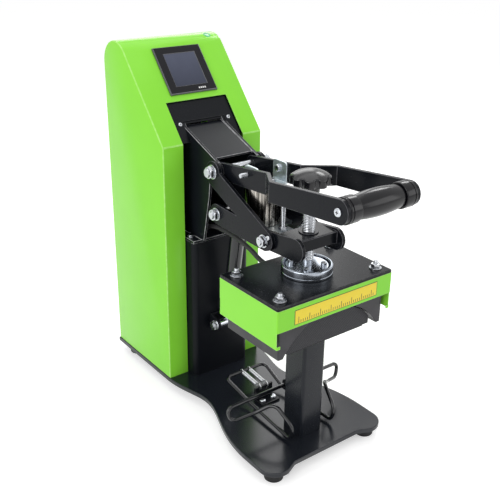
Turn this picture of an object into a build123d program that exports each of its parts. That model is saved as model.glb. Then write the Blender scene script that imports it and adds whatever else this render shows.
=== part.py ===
"""Magnetic auto-opening cap heat press, in millimetres.

+Z is up, the operator stands at -Y, and the press is symmetric about the plane x = 0.
The origin is the middle of the footprint, on the surface that the rubber feet stand on.
The press is drawn shut: platen on the cap former, handle down, magnet on its armature.
"""
from build123d import *
from math import asin, atan2, cos, degrees, hypot, pi, radians, sin, sqrt
import os

# ---- overall ----
HEIGHT = 482.0            # floor to the crown of the green housing
LENGTH = 464.0            # front of the grip to the back edge of the base plate
BASE_BACK = LENGTH / 2
FIT = 0.05                # radial clearance of a running fit, or of a bolt in its hole
SKIN = 0.3                # air between faces that pass each other
NUT_T = 6.5               # thickness of an M8 nut or bolt head
NUT_AF = 13.0             # and its width across flats

# ---- base plate and feet ----
FOOT_H = 14.0
FOOT_R = 13.5
FOOT_PEG_R = 3.0
BASE_T = 6.0
BASE_TOP = FOOT_H + BASE_T
BASE_W = 195.0            # widest part of the base, at its front lobes
BASE_BACK_W = 160.0
BASE_WAIST_W = 133.0
BASE_WAIST_Y = 12.0
BASE_FRONT = -175.0
LOBE_R = 22.0
LOBE_BACK_Y = BASE_FRONT + 50
TOE_CUT = 8.0             # how far the front edge steps back between the lobes

# ---- green housing ----
SHEET = 1.5
HOUSE_W = 158.0
HOUSE_FRONT = 82.2
HOUSE_BACK = BASE_BACK - 2.0
SHOULDER_Z = 362.7        # foot of the sloping face
CROWN_R = 31.4            # round back edge at the top
MOUTH_W = 96.4            # width of the opening for the press head
MOUTH_RISE = 61.7         # how far the opening climbs the sloping face
HOUSE_LIP = 10.0          # folded edge beside the opening
PANEL_RISE = 105.8        # middle of the touch controller along the sloping face
PANEL_W = 74.4
PANEL_H = 71.6
PANEL_PROUD = 3.0
PANEL_DEPTH = 32.0
SCREEN_W = 49.0
LAMP_R = 2.4
LAMP_X = 62.0
LAMP_FORWARD = 10.6       # the lamp stands this far in front of the crown's centre line

# ---- rear panel ----
INLET_W, INLET_H = 27.0, 20.0
SWITCH_W, SWITCH_H = 21.0, 15.0
INLET_Z = 70.0
SWITCH_Z = 95.0
VENT_ROWS = 9
VENT_W, VENT_H = 44.0, 4.0
VENT_PITCH = 9.0
VENT_LOW = 330.0

# ---- column and head ----
COLUMN_W = 94.0
COLUMN_FRONT = 64.0
COLUMN_BACK = 150.0
COLUMN_TOP = 228.0
COLUMN_R = 9.0
COLUMN_WALL = 3.0
COLUMN_FLOOR = 4.0
HEAD_T = 4.0
CHEEK_OUT = 33.1
CHANNEL_RISE, CHANNEL_DEPTH = 31.1, 7.3       # back end of the channel, from the foot of the slope
CHEEK_RISE, CHEEK_DEPTH = 61.0, 23.9          # top corner of the cheeks
CHANNEL_LIP_Y, CHANNEL_LIP_Z = 36.0, 353.0
CHANNEL_T = 3.0
AXLE_Y, AXLE_Z = 30.0, 338.0
AXLE_R = 6.0
NOSE_R = 12.0
LUG_RISE = 29.5
LUG_X = 38.6
BACK_PLATE_DEPTH = 3.0
BACK_PLATE_W = 108.0
BACK_PLATE_RISE = 68.0

# ---- press arm ----
ARM_IN = 33.5
ARM_T = 5.0
ARM_OUT = ARM_IN + ARM_T
ARM_EYE_R = 14.0
BAR_R = 12.4              # half the width of the sloping bar
LIFT_Y, LIFT_Z = 22.0, 283.5      # bolt that the gas damper pushes on
LIFT_R = 5.0
LIFT_PLATE_R = 13.5
YOKE_Y, YOKE_Z = -76.0, 279.5     # bolt that joins arm plate and yoke
YOKE_BOLT_R = 4.0
YOKE_TIP_Y, YOKE_TIP_Z = -128.0, 284.0
YOKE_TIP_R = 14.0
YOKE_TAIL_R = 12.0
YOKE_TOP = 295.0
YOKE_T = 5.0
YOKE_NUT_R = 10.5
TIP_SCREW_Y, TIP_SCREW_Z = -85.5, 286.5
TIP_SCREW_R = 2.5
ARMATURE_TOP = 280.0
ARMATURE_T = 5.0
ARMATURE_FRONT, ARMATURE_BACK = -44.0, 4.0
STOP_X, STOP_Y = 3.0, -62.0
STOP_R = 3.0
STOP_TOP = 311.0

# ---- platen ----
PLATEN_Y = -113.0
COVER_W = 180.0
COVER_D = 111.0
COVER_TOP = 242.6
COVER_T = 4.0
SKIRT_T = 1.2
SKIRT_FRONT_Z = 211.0
SKIRT_SIDE_Z = 190.0
SKIRT_TAB = 5.5           # how far the side skirt turns round the front corner
BLOCK_W = 165.0
BLOCK_D = 99.0
BLOCK_BOTTOM = 171.0
BLOCK_TOP = 225.0
ARCH_R = 87.0
ARCH_Z = 127.0            # height of the axis that arch and former share
ELEMENT_W, ELEMENT_D, ELEMENT_T = 80.0, 60.0, 2.0
STUD_X = 75.4
STUD_DY = 40.8
STUD_R = 3.0
STUD_RISE = 10.0
WASHER_R, WASHER_T = 7.8, 1.6
CUP_R = 31.5
CUP_H = 12.5
CUP_WALL = 3.4
CUP_FLOOR = 3.0
RING_R = 26.0
RING_T = 3.4
SPINDLE_R = 7.5
SPINDLE_NECK_R = 6.0
SPINDLE_FLANGE_R = 11.0
SPINDLE_FLANGE_H = 4.0
KNOB_R = 24.5
KNOB_TOP = 372.0
KNOB_H = 17.0
KNOB_HUB_H = 10.0
KNOB_DOME_R = 42.0
KNOB_LOBES = 8

# ---- cap former and post ----
FORMER_W = 132.0
FORMER_D = 90.0
FORMER_BOTTOM = 171.5
FORMER_GAP = 1.3          # between the pad and the heated arch
PAD_T = 6.0
POST_W = 35.0
POST_D = 37.0
POST_Y = -117.0
POST_WALL = 3.0
SHELF_T = 3.5
SCREW_R = 2.5             # M5 screws of the pedestal

# ---- handle ----
HANDLE_T = 5.0
HANDLE_REAR_OUT = 28.6    # outer face of the rear part of each handle plate
HANDLE_FRONT_OUT = 54.0   # outer face of the front part
JOG_BACK_Y, JOG_BACK_Z, JOG_BACK_R = -66.0, 346.5, 13.7
JOG_FRONT_Y, JOG_FRONT_Z, JOG_FRONT_R = -103.0, 352.3, 12.3
HANDLE_EYE_R = 11.0
GRIP_Z = 363.2
GRIP_ARM_R = 14.0
GRIP_R = 15.4
GRIP_Y = GRIP_R - LENGTH / 2
GRIP_END_R = 13.4         # radius of the barrel where it meets a collar
COLLAR_T = 16.0
GRIP_SCREW_R = 3.0

# ---- electromagnet ----
MAGNET_R = 23.4
MAGNET_Y = -24.0
MAGNET_TOP = 330.0
HANGER_T = 2.5
HANGER_D = 27.0
HANGER_TOP = 358.0
HANGER_BOLT_Y, HANGER_BOLT_Z = -28.0, 348.0
HANGER_BOLT_R = 3.0
MAGNET_SCREW_X = 12.0

# ---- gas damper ----
PIN_Y, PIN_Z = 50.0, 104.0        # its lower pin; its upper eye is round the lift bolt
PIN_R = 4.0
TUBE_R = 10.0
TUBE_LOW, TUBE_HIGH = 21.0, 168.0   # the tube hangs from the arm and its rod points down
ROD_R = 4.5
EYE_R = 10.5
EYE_T = 11.0
EYE_SLACK = 2.2           # the upper eye is looser than a fit: the linkage is opened there
CLEVIS_IN = 17.0
CLEVIS_T = 4.0
CLEVIS_R = 8.5
CLEVIS_FOOT = 12.0

# ---- cap wire ----
WIRE_R = 2.5
WIRE_Y, WIRE_Z = -80.0, 65.0      # straight run behind the post, which it turns on
WIRE_BAR_Y, WIRE_BAR_Z = 7.0, 43.0    # cross bar that the springs pull down
CLAMP_X0, CLAMP_X1 = 1.0, 15.0
CLAMP_R = 7.0
SPRING_X = 6.0
SPRING_R = 3.2
SPRING_LOW_Y, SPRING_LOW_Z = -33.0, 35.0      # front face of the bracket's upright tongue
SPRING_LOW_GAP = 1.0
BRACKET_W = 30.0
BRACKET_T = 3.0

# ---- heater lead ----
LEAD_R = 3.2
LEAD_X, LEAD_Z = -7.0, 228.0
GLAND_R = 6.0
GLAND_T = 6.0


# ---------- small helpers ----------
def block(x0, x1, y0, y1, z0, z1):
    """A box between six faces, given in any order."""
    middle = ((x0 + x1) / 2, (y0 + y1) / 2, (z0 + z1) / 2)
    return Pos(*middle) * Box(abs(x1 - x0), abs(y1 - y0), abs(z1 - z0))


def upright(x, y, r, z0, z1):
    """An upright cylinder."""
    return Pos(x, y, (z0 + z1) / 2) * Cylinder(r, abs(z1 - z0))


def across(y, z, r, x0, x1):
    """A cylinder along X."""
    return Pos((x0 + x1) / 2, y, z) * Rot(0, 90, 0) * Cylinder(r, abs(x1 - x0))


def endways(x, z, r, y0, y1):
    """A cylinder along Y."""
    return Pos(x, (y0 + y1) / 2, z) * Rot(90, 0, 0) * Cylinder(r, abs(y1 - y0))


def hex_across(y, z, flats, x0, x1):
    """A hexagon head or nut along X."""
    face = Plane.YZ * Pos(y, z) * RegularPolygon(flats / sqrt(3), 6)
    return Pos(min(x0, x1), 0, 0) * extrude(face, abs(x1 - x0))


def hex_upright(x, y, flats, z0, z1):
    """A hexagon head or nut along Z."""
    return Pos(x, y, z0) * extrude(RegularPolygon(flats / sqrt(3), 6), z1 - z0)


def bore(y, z, r):
    """A hole along X through everything near the middle."""
    return across(y, z, r + FIT, -COVER_W, COVER_W)


def plate_x(face, x0, x1):
    """A flat plate whose outline lies in the YZ plane, from x0 to x1."""
    return Pos(min(x0, x1), 0, 0) * extrude(Plane.YZ * face, abs(x1 - x0))


def disc(y, z, r):
    return Pos(y, z) * Circle(r)


def link(y0, z0, r0, y1, z1, r1):
    """Outline of a link plate: two round ends and the tangents between them."""
    return make_hull(disc(y0, z0, r0).edges() + disc(y1, z1, r1).edges())


def outline(*points):
    return make_face(Polyline(*points, close=True))


def both(make):
    """The left and right copies of a piece that is built for one side."""
    return [make(-1), make(1)]


def four(half_x, half_y, middle_y):
    """Four points in a rectangle about x = 0."""
    return [(sx * half_x, middle_y + sy * half_y) for sx in (-1, 1) for sy in (-1, 1)]


def save(name, *shapes):
    """Write one node; several shapes in a node are copies of the same piece."""
    shape = shapes[0] if len(shapes) == 1 else Compound(children=list(shapes))
    export_step(shape, f"parts/{name}.step")


os.makedirs("parts", exist_ok=True)

# ---------- places of the fasteners that several pieces share ----------
COLUMN_Y = (COLUMN_FRONT + COLUMN_BACK) / 2
COLUMN_D = COLUMN_BACK - COLUMN_FRONT
BOLT_R = 4.0
COVER_SCREW_R = 1.5
COVER_HEAD_R = 2.8
COVER_HEAD_T = 1.8
FOOT_INSET = 20.0
REAR_FOOT_Y = BASE_BACK - FOOT_INSET - 4
FLANGE_FRONT, FLANGE_IN = 37.0, 10.0      # screws through the folded edge under the housing
BOLT_INSET = 17.5                         # bolts of the column, from its walls
REAR_END, REAR_IN = 30.0, 5.5             # screws of the rear panel
FOOT_SPOTS = [(side * (BASE_W / 2 - FOOT_INSET), BASE_FRONT + FOOT_INSET) for side in (-1, 1)]
FOOT_SPOTS += [(side * (BASE_BACK_W / 2 - FOOT_INSET), REAR_FOOT_Y) for side in (-1, 1)]
FLANGE_YS = (HOUSE_FRONT + FLANGE_FRONT, REAR_FOOT_Y - FOOT_R - COVER_HEAD_R - 5)
FLANGE_SPOTS = [(side * (HOUSE_W / 2 - FLANGE_IN), y) for side in (-1, 1) for y in FLANGE_YS]
COLUMN_SPOTS = four(COLUMN_W / 2 - BOLT_INSET, COLUMN_D / 2 - BOLT_INSET, COLUMN_Y)
HEAD_SPOTS = four((CHEEK_OUT + COLUMN_W / 2) / 2, COLUMN_D / 2 - BOLT_INSET, COLUMN_Y)
REAR_HEIGHTS = (BASE_TOP + REAR_END, (BASE_TOP + HEIGHT) / 2, HEIGHT - 2 * REAR_END)
REAR_SPOTS = [(side * (HOUSE_W / 2 - REAR_IN), z) for side in (-1, 1) for z in REAR_HEIGHTS]


# ---------- base plate and feet ----------
def base_outline():
    """Right half, mirrored: straight beside the housing, a waist, then a round lobe."""
    back, front = BASE_BACK_W / 2, BASE_W / 2
    side = Line((back, BASE_BACK), (back, HOUSE_FRONT + 8))
    waist_end = (front, LOBE_BACK_Y)
    waist = Spline(side @ 1, (BASE_WAIST_W / 2, BASE_WAIST_Y), waist_end, tangents=[(0, -1), (0, -1)])
    flank = Line(waist_end, (front, BASE_FRONT + LOBE_R))
    corner = RadiusArc(flank @ 1, (front - LOBE_R, BASE_FRONT), LOBE_R)
    step_y = BASE_FRONT + TOE_CUT
    toe = Polyline(corner @ 1, (front - LOBE_R - 5, BASE_FRONT), (front - 2 * LOBE_R, step_y), (0, step_y))
    back_edge, middle = Line((0, BASE_BACK), side @ 0), Line(toe @ 1, (0, BASE_BACK))
    right_half = make_face(back_edge + side + waist + flank + corner + toe + middle)
    return right_half + mirror(right_half, about=Plane.YZ)


base = Pos(0, 0, FOOT_H) * extrude(base_outline(), BASE_T)
base = chamfer(base.faces().sort_by(Axis.Z)[-1].edges(), 0.6)
BRACKET_SPOTS = [(side * (BRACKET_W / 2 - 6), SPRING_LOW_Y - 12) for side in (-1, 1)]
FOOT_SKIN = 1.2            # steel left above a foot's peg
hole_sets = [(FOOT_SPOTS, FOOT_PEG_R, -FOOT_SKIN), (FLANGE_SPOTS, COVER_SCREW_R, 1),
             (COLUMN_SPOTS, BOLT_R, 1), ([(0, POST_Y)], BOLT_R, 1), (BRACKET_SPOTS, SCREW_R, 1)]
for spots, r, above in hole_sets:
    for x, y in spots:
        base -= upright(x, y, r + FIT, FOOT_H - 1, BASE_TOP + above)


def foot(x, y):
    """A rubber foot with a peg that is pressed up into the base plate."""
    body = Pos(x, y, FOOT_H / 2) * Cone(FOOT_R - 1.5, FOOT_R, FOOT_H)
    body = fillet(body.edges().filter_by(GeomType.CIRCLE).sort_by(Axis.Z)[0], 1.2)
    return body + upright(x, y, FOOT_PEG_R, FOOT_H - 1, BASE_TOP - FOOT_SKIN - 0.3)


save("base_plate", base)
save("rubber_feet", *[foot(x, y) for x, y in FOOT_SPOTS])


# ---------- column, with the blocks that the head is screwed to ----------
def column_section(inset):
    """Round at the two front corners, tighter at the back."""
    face = Pos(0, COLUMN_Y) * Rectangle(COLUMN_W - 2 * inset, COLUMN_D - 2 * inset)
    face = fillet(face.vertices().group_by(Axis.Y)[0], COLUMN_R - inset)
    return fillet(face.vertices().group_by(Axis.Y)[-1], 2 + COLUMN_WALL - inset)


TAB_T, TAB_W, TAB_END = 8.0, 13.0, 10.0      # blocks inside the column's top for the head screws
column = Pos(0, 0, BASE_TOP) * extrude(column_section(0), COLUMN_TOP - BASE_TOP)
column -= Pos(0, 0, BASE_TOP + COLUMN_FLOOR) * extrude(column_section(COLUMN_WALL), HEIGHT)
for side in (-1, 1):
    wall, tab_low = COLUMN_W / 2 - 1, COLUMN_TOP - TAB_T
    tab_y = (COLUMN_FRONT + TAB_END, COLUMN_BACK - TAB_END)
    column += block(side * (wall - TAB_W), side * wall, *tab_y, tab_low, COLUMN_TOP)
for x, y in COLUMN_SPOTS:
    column -= upright(x, y, BOLT_R + FIT, BASE_TOP - 1, BASE_TOP + COLUMN_FLOOR + 1)
for x, y in HEAD_SPOTS:
    column -= upright(x, y, SCREW_R + FIT, COLUMN_TOP - TAB_T - 1, COLUMN_TOP + 1)


def base_bolt(x, y):
    """M8 bolt from below, threaded into the floor of the column or post."""
    head = hex_upright(x, y, NUT_AF, FOOT_H - 5, FOOT_H)
    return head + upright(x, y, BOLT_R, FOOT_H - 1, BASE_TOP + COLUMN_FLOOR + 2)


save("column", column)
save("base_bolts", *[base_bolt(x, y) for x, y in COLUMN_SPOTS + [(0, POST_Y)]])

# ---------- the sloping face of the housing: tangent to the crown, followed by several pieces ----------
CROWN_Y = HOUSE_BACK - CROWN_R
CROWN_Z = HEIGHT - CROWN_R
crown_away = hypot(CROWN_Y - HOUSE_FRONT, CROWN_Z - SHOULDER_Z)
SLOPE = degrees(atan2(CROWN_Z - SHOULDER_Z, CROWN_Y - HOUSE_FRONT) + asin(CROWN_R / crown_away))
UP_Y, UP_Z = cos(radians(SLOPE)), sin(radians(SLOPE))


def on_slope(rise, depth=0.0):
    """Point in the YZ plane: rise along the slope from its foot, depth inwards."""
    return (HOUSE_FRONT + rise * UP_Y + depth * UP_Z, SHOULDER_Z + rise * UP_Z - depth * UP_Y)


def slope_block(x0, x1, rise0, rise1, depth0, depth1):
    """A box whose faces follow the sloping face."""
    near = [on_slope(rise0, depth0), on_slope(rise1, depth0)]
    far = [on_slope(rise1, depth1), on_slope(rise0, depth1)]
    return plate_x(outline(*near, *far), x0, x1)


def slope_pin(x, rise, r, depth0, depth1):
    """A cylinder square to the sloping face."""
    y, z = on_slope(rise, (depth0 + depth1) / 2)
    return Pos(x, y, z) * Rot(SLOPE, 0, 0) * Cylinder(r, abs(depth1 - depth0))


# ---------- welded head: foot plate, two cheeks and the sloping channel ----------
CHEEK_IN = CHEEK_OUT - HEAD_T
HEAD_FOOT_TOP = COLUMN_TOP + HEAD_T
CHANNEL_BACK_Y, CHANNEL_BACK_Z = on_slope(CHANNEL_RISE, CHANNEL_DEPTH)
cheek_back_y, cheek_back_z = on_slope(CHEEK_RISE, CHEEK_DEPTH)
throat_z = HEAD_FOOT_TOP + 0.64 * (AXLE_Z - HEAD_FOOT_TOP)
cheek = outline(
    (AXLE_Y - 3, AXLE_Z + NOSE_R), (CHANNEL_BACK_Y, CHANNEL_BACK_Z), (cheek_back_y, cheek_back_z),
    (cheek_back_y, HEAD_FOOT_TOP), (COLUMN_FRONT - 4, HEAD_FOOT_TOP), (AXLE_Y + NOSE_R + 4, throat_z),
    (AXLE_Y + NOSE_R + 1, AXLE_Z - 6), (AXLE_Y - 3, AXLE_Z - 4))
cheek += disc(AXLE_Y, AXLE_Z, NOSE_R)
web = outline(
    (CHANNEL_LIP_Y, CHANNEL_LIP_Z), (CHANNEL_BACK_Y, CHANNEL_BACK_Z - 1.6),
    (CHANNEL_BACK_Y + 1, CHANNEL_BACK_Z - 1.6 - CHANNEL_T), (CHANNEL_LIP_Y + 1, CHANNEL_LIP_Z - CHANNEL_T))
head = plate_x(web, -CHEEK_IN, CHEEK_IN)
head += plate_x(cheek, -CHEEK_OUT, -CHEEK_IN)
head += plate_x(cheek, CHEEK_IN, CHEEK_OUT)
foot_half = COLUMN_W / 2 - 1
head += block(-foot_half, foot_half, COLUMN_FRONT + 1, COLUMN_BACK - 1, COLUMN_TOP, HEAD_FOOT_TOP)
BACK_PLATE_IN = BACK_PLATE_DEPTH + SHEET
LUG_T = 3.5
for side in (-1, 1):
    near, far = side * CHEEK_IN, side * (LUG_X + 7)
    head += slope_block(near, far, LUG_RISE - 7, LUG_RISE + 7, BACK_PLATE_IN, BACK_PLATE_IN + LUG_T)
    head -= slope_pin(side * LUG_X, LUG_RISE, COVER_SCREW_R + FIT, 0, 10)
head -= bore(AXLE_Y, AXLE_Z, AXLE_R)
for x, y in HEAD_SPOTS:
    head -= upright(x, y, SCREW_R + FIT, COLUMN_TOP - 1, HEAD_FOOT_TOP + 1)
LEAD_HOLE_X, LEAD_HOLE_Y = -18.0, 86.0
head -= upright(LEAD_HOLE_X, LEAD_HOLE_Y, LEAD_R + 4, COLUMN_TOP - 1, HEAD_FOOT_TOP + 1)


def head_screw(x, y):
    cap = upright(x, y, 4.5, HEAD_FOOT_TOP, HEAD_FOOT_TOP + 4)
    return cap + upright(x, y, SCREW_R, COLUMN_TOP - TAB_T + 1, HEAD_FOOT_TOP + 1)


save("head_frame", head)
save("head_screws", *[head_screw(x, y) for x, y in HEAD_SPOTS])

# ---------- black plate that closes the mouth round the channel ----------
half = BACK_PLATE_W / 2
notch = CHEEK_OUT + SKIN
notch_rise = CHANNEL_RISE + 2
back_plate = slope_block(-half, half, 3, BACK_PLATE_RISE, BACK_PLATE_DEPTH, BACK_PLATE_IN)
back_plate -= slope_block(-notch, notch, 0, notch_rise, 0, 10)
for side in (-1, 1):
    back_plate -= slope_pin(side * LUG_X, LUG_RISE, COVER_SCREW_R + FIT, 0, 10)
save("back_plate", back_plate)



# ---------- green housing ----------
def house_profile(inset, bottom):
    """Front, sloping face, round crown and back, all moved in by the inset."""
    r = CROWN_R - inset
    high = (CROWN_Y - r * UP_Z, CROWN_Z + r * UP_Y)
    front, back = HOUSE_FRONT + inset, HOUSE_BACK - inset
    shoulder = (front, SHOULDER_Z - inset * (1 - UP_Z) / UP_Y)
    arc = ThreePointArc(high, (CROWN_Y, HEIGHT - inset), (back, CROWN_Z))
    return make_face(Polyline((back, CROWN_Z), (back, bottom), (front, bottom), shoulder, high) + arc)


half_w = HOUSE_W / 2
inner_w = half_w - SHEET
mouth = MOUTH_W / 2
PANEL_EDGE = 3.0          # how far the bezel laps over its hole
hole_w, hole_h = PANEL_W / 2 - PANEL_EDGE, PANEL_H / 2 - PANEL_EDGE
house = plate_x(house_profile(0, BASE_TOP), -half_w, half_w)
house -= plate_x(house_profile(SHEET, BASE_TOP - 5), -inner_w, inner_w)
house -= block(-mouth, mouth, HOUSE_FRONT - 5, HOUSE_FRONT + 5, BASE_TOP - 1, SHOULDER_Z + 3)
house -= slope_block(-mouth, mouth, -3, MOUTH_RISE, -5, 5)
house -= slope_block(-hole_w, hole_w, PANEL_RISE - hole_h, PANEL_RISE + hole_h, -5, 5)
house -= block(-half_w + 8, half_w - 8, HOUSE_BACK - 5, HOUSE_BACK + 5, BASE_TOP - 1, CROWN_Z - 6)
for side in (-1, 1):
    lip = side * (mouth + SHEET)
    house += block(side * mouth, lip, HOUSE_FRONT, HOUSE_FRONT + HOUSE_LIP, BASE_TOP, SHOULDER_Z - 12)
    flange_x = (side * inner_w, side * (half_w - 16))
    house += block(*flange_x, HOUSE_FRONT + 12, HOUSE_BACK - 20, BASE_TOP, BASE_TOP + 2)
for x, y in FLANGE_SPOTS:
    house -= upright(x, y, COVER_SCREW_R + FIT, BASE_TOP - 1, BASE_TOP + 3)
for x, z in REAR_SPOTS:
    house -= endways(x, z, COVER_SCREW_R + FIT, HOUSE_BACK - 6, HOUSE_BACK + 6)
LAMP_Y = CROWN_Y - LAMP_FORWARD
LAMP_Z = CROWN_Z + sqrt(CROWN_R ** 2 - LAMP_FORWARD ** 2)
house -= upright(LAMP_X, LAMP_Y, LAMP_R + FIT, LAMP_Z - 8, LAMP_Z + 8)
lamp = upright(LAMP_X, LAMP_Y, LAMP_R, LAMP_Z - 9, LAMP_Z + 0.6)
lamp += upright(LAMP_X, LAMP_Y, LAMP_R + 1.2, LAMP_Z - 9, LAMP_Z - 3.2)


def pan_screw(length):
    """A small pan-head screw whose head sits on the plane z = 0 and points up."""
    head = Pos(0, 0, COVER_HEAD_T / 2) * Cylinder(COVER_HEAD_R, COVER_HEAD_T)
    head = fillet(head.edges().filter_by(GeomType.CIRCLE).sort_by(Axis.Z)[-1], 0.8)
    return head + Pos(0, 0, -length / 2 + 0.5) * Cylinder(COVER_SCREW_R, length + 1)


under_screws = [Pos(x, y, FOOT_H) * Rot(180, 0, 0) * pan_screw(BASE_T + 5) for x, y in FLANGE_SPOTS]
rear_screws = [Pos(x, HOUSE_BACK, z) * Rot(-90, 0, 0) * pan_screw(5) for x, z in REAR_SPOTS]
plate_y, plate_z = on_slope(LUG_RISE, BACK_PLATE_DEPTH)
plate_screws = both(lambda side: Pos(side * LUG_X, plate_y, plate_z) * Rot(SLOPE, 0, 0) * pan_screw(6))
save("housing_cover", house)
save("housing_screws", *under_screws, *rear_screws, *plate_screws)
save("status_lamp", lamp)

# ---------- rear panel, with the inlet module and its rocker ----------
REAR_OUT = HOUSE_BACK - SHEET
REAR_TOP = CROWN_Z - 2
MODULE_T = 2.0
MODULE_DEPTH = 22.0
module_low = INLET_Z - INLET_H / 2
module_high = SWITCH_Z + SWITCH_H / 2


def in_wall(w, z0, z1, y0, y1):
    """A box in the back wall, centred on x = 0."""
    return block(-w / 2, w / 2, y0, y1, z0, z1)


panel_half = inner_w - SKIN
rear = block(-panel_half, panel_half, REAR_OUT - SHEET, REAR_OUT, BASE_TOP, REAR_TOP)
rear -= in_wall(INLET_W, module_low, module_high, REAR_OUT - 9, REAR_OUT + 9)
for row in range(VENT_ROWS):
    for side in (-1, 1):
        slot = Pos(side * (VENT_W + 12) / 2, REAR_OUT + 5, VENT_LOW + row * VENT_PITCH) * Rot(90, 0, 0)
        rear -= slot * extrude(SlotOverall(VENT_W, VENT_H), 12)
for x, z in REAR_SPOTS:
    rear -= endways(x, z, COVER_SCREW_R + FIT, HOUSE_BACK - 6, HOUSE_BACK + 6)
module = in_wall(INLET_W + 8, module_low - 4, module_high + 4, REAR_OUT, REAR_OUT + MODULE_T)
module_back = REAR_OUT - MODULE_DEPTH
module += in_wall(INLET_W - 2 * SKIN, module_low + SKIN, module_high - SKIN, module_back, REAR_OUT + 1)
socket_low, socket_high = INLET_Z - INLET_H / 2 + 2.5, INLET_Z + INLET_H / 2 - 2.5
module -= in_wall(INLET_W - 5, socket_low, socket_high, module_back + 4, REAR_OUT + 5)
well_low, well_high = SWITCH_Z - SWITCH_H / 2 + 2, SWITCH_Z + SWITCH_H / 2 - 1
module -= in_wall(SWITCH_W - 4, well_low, well_high, REAR_OUT - 14, REAR_OUT + 5)
ROCK_Y = REAR_OUT - 4
ROCK_PIN_R = 1.2
ROCK_HALF = (SWITCH_W - 4) / 2 - 0.5
well_h = well_high - well_low
module -= upright(0, ROCK_Y, ROCK_PIN_R + FIT, well_low - 1, well_high + 1)
ROCK_TIP = ROCK_HALF - 1.2
rocker = outline((-ROCK_HALF, -2.5), (ROCK_HALF, -2.5), (ROCK_TIP, 6.5), (0, 5), (-ROCK_TIP, 6.5))
rocker = Pos(0, ROCK_Y, well_low + SKIN) * extrude(rocker, well_h - 2 * SKIN)
rocker += upright(0, ROCK_Y, ROCK_PIN_R, well_low - 0.7, well_high + 0.7)
save("rear_panel", rear)
save("mains_inlet", module)
save("rocker_switch", rocker)

# ---------- touch controller ----------
panel_low, panel_high = PANEL_RISE - PANEL_H / 2, PANEL_RISE + PANEL_H / 2
bezel = slope_block(-PANEL_W / 2, PANEL_W / 2, panel_low, panel_high, -PANEL_PROUD, 0)
outward = Axis((0, 0, 0), (0, -UP_Z, UP_Y))
bezel = chamfer(bezel.faces().sort_by(outward)[-1].edges(), 1.0)
box_w, box_h = hole_w - SKIN, hole_h - SKIN
bezel += slope_block(-box_w, box_w, PANEL_RISE - box_h, PANEL_RISE + box_h, -1, PANEL_DEPTH)
SCREEN_T = 1.5
SCREEN_SUNK = 0.3
screen_half = SCREEN_W / 2
pocket = (PANEL_RISE - screen_half, PANEL_RISE + screen_half)
screen_back = -PANEL_PROUD + SCREEN_SUNK + SCREEN_T
bezel -= slope_block(-screen_half, screen_half, *pocket, -PANEL_PROUD - 1, screen_back)
glass = screen_half - 0.1
screen_front = screen_back - SCREEN_T
screen = slope_block(-glass, glass, PANEL_RISE - glass, PANEL_RISE + glass, screen_front, screen_back)
save("controller_body", bezel)
save("touch_screen", screen)

# ---------- post, shelf and cap former ----------
SHELF_BOTTOM = FORMER_BOTTOM - SHELF_T
SHELF_W, SHELF_D = FORMER_W - 6, FORMER_D - 6
SHELF_SPOTS = four(SHELF_W / 2 - 15, SHELF_D / 2 - 12, PLATEN_Y)
POST_CAP_T = 6.0
post_face = fillet((Pos(0, POST_Y) * Rectangle(POST_W, POST_D)).vertices(), 4)
post_hollow = Pos(0, POST_Y) * Rectangle(POST_W - 2 * POST_WALL, POST_D - 2 * POST_WALL)
post_height = SHELF_BOTTOM - BASE_TOP
post = Pos(0, 0, BASE_TOP) * extrude(post_face, post_height)
post -= Pos(0, 0, BASE_TOP + COLUMN_FLOOR) * extrude(post_hollow, post_height - COLUMN_FLOOR - POST_CAP_T)
post -= upright(0, POST_Y, BOLT_R + FIT, BASE_TOP - 1, BASE_TOP + COLUMN_FLOOR + 1)
POST_BACK = POST_Y + POST_D / 2
CLAMP_X = (CLAMP_X0 + CLAMP_X1) / 2
CLAMP_FOOT_H = 22.0
CLAMP_FOOT_T = 3.0
CLAMP_SCREWS = [WIRE_Z + rise for rise in (-CLAMP_FOOT_H / 2 - 6, CLAMP_FOOT_H / 2 + 6)]
for z in CLAMP_SCREWS:
    post -= endways(CLAMP_X, z, SCREW_R + FIT, POST_BACK - POST_WALL - 1, POST_BACK + 1)
shelf = Pos(0, PLATEN_Y, SHELF_BOTTOM + SHELF_T / 2) * Box(SHELF_W, SHELF_D, SHELF_T)
shelf = chamfer(shelf.edges().filter_by(Axis.Z), 4)
for x, y in SHELF_SPOTS:
    shelf -= upright(x, y, SCREW_R + FIT, SHELF_BOTTOM - 1, FORMER_BOTTOM + 1)


def bow(r, w, d, bottom):
    """A length of cylinder about the former's axis, cut to a width and a flat bottom."""
    body = endways(0, ARCH_Z, r, PLATEN_Y - d / 2, PLATEN_Y + d / 2)
    return body & block(-w / 2, w / 2, PLATEN_Y - d, PLATEN_Y + d, bottom, ARCH_Z + r + 1)


PAD_R = ARCH_R - FORMER_GAP
CORE_R = PAD_R - PAD_T
PAD_END_T = 2.0            # the pad also covers both ends of its core
former = bow(CORE_R, FORMER_W - 2 * PAD_T, FORMER_D - 2 * PAD_END_T, FORMER_BOTTOM)
pad = bow(PAD_R, FORMER_W, FORMER_D, FORMER_BOTTOM)
pad -= bow(CORE_R, FORMER_W - 2 * PAD_T, FORMER_D - 2 * PAD_END_T, FORMER_BOTTOM - 1)
SCREW_GRIP = 7.0
for x, y in SHELF_SPOTS:
    former -= upright(x, y, SCREW_R + FIT, FORMER_BOTTOM - 1, FORMER_BOTTOM + SCREW_GRIP)


def shelf_screw(x, y):
    cap = upright(x, y, 4.4, SHELF_BOTTOM - 3, SHELF_BOTTOM)
    return cap + upright(x, y, SCREW_R, SHELF_BOTTOM - 1, FORMER_BOTTOM + SCREW_GRIP - 0.5)


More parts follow.
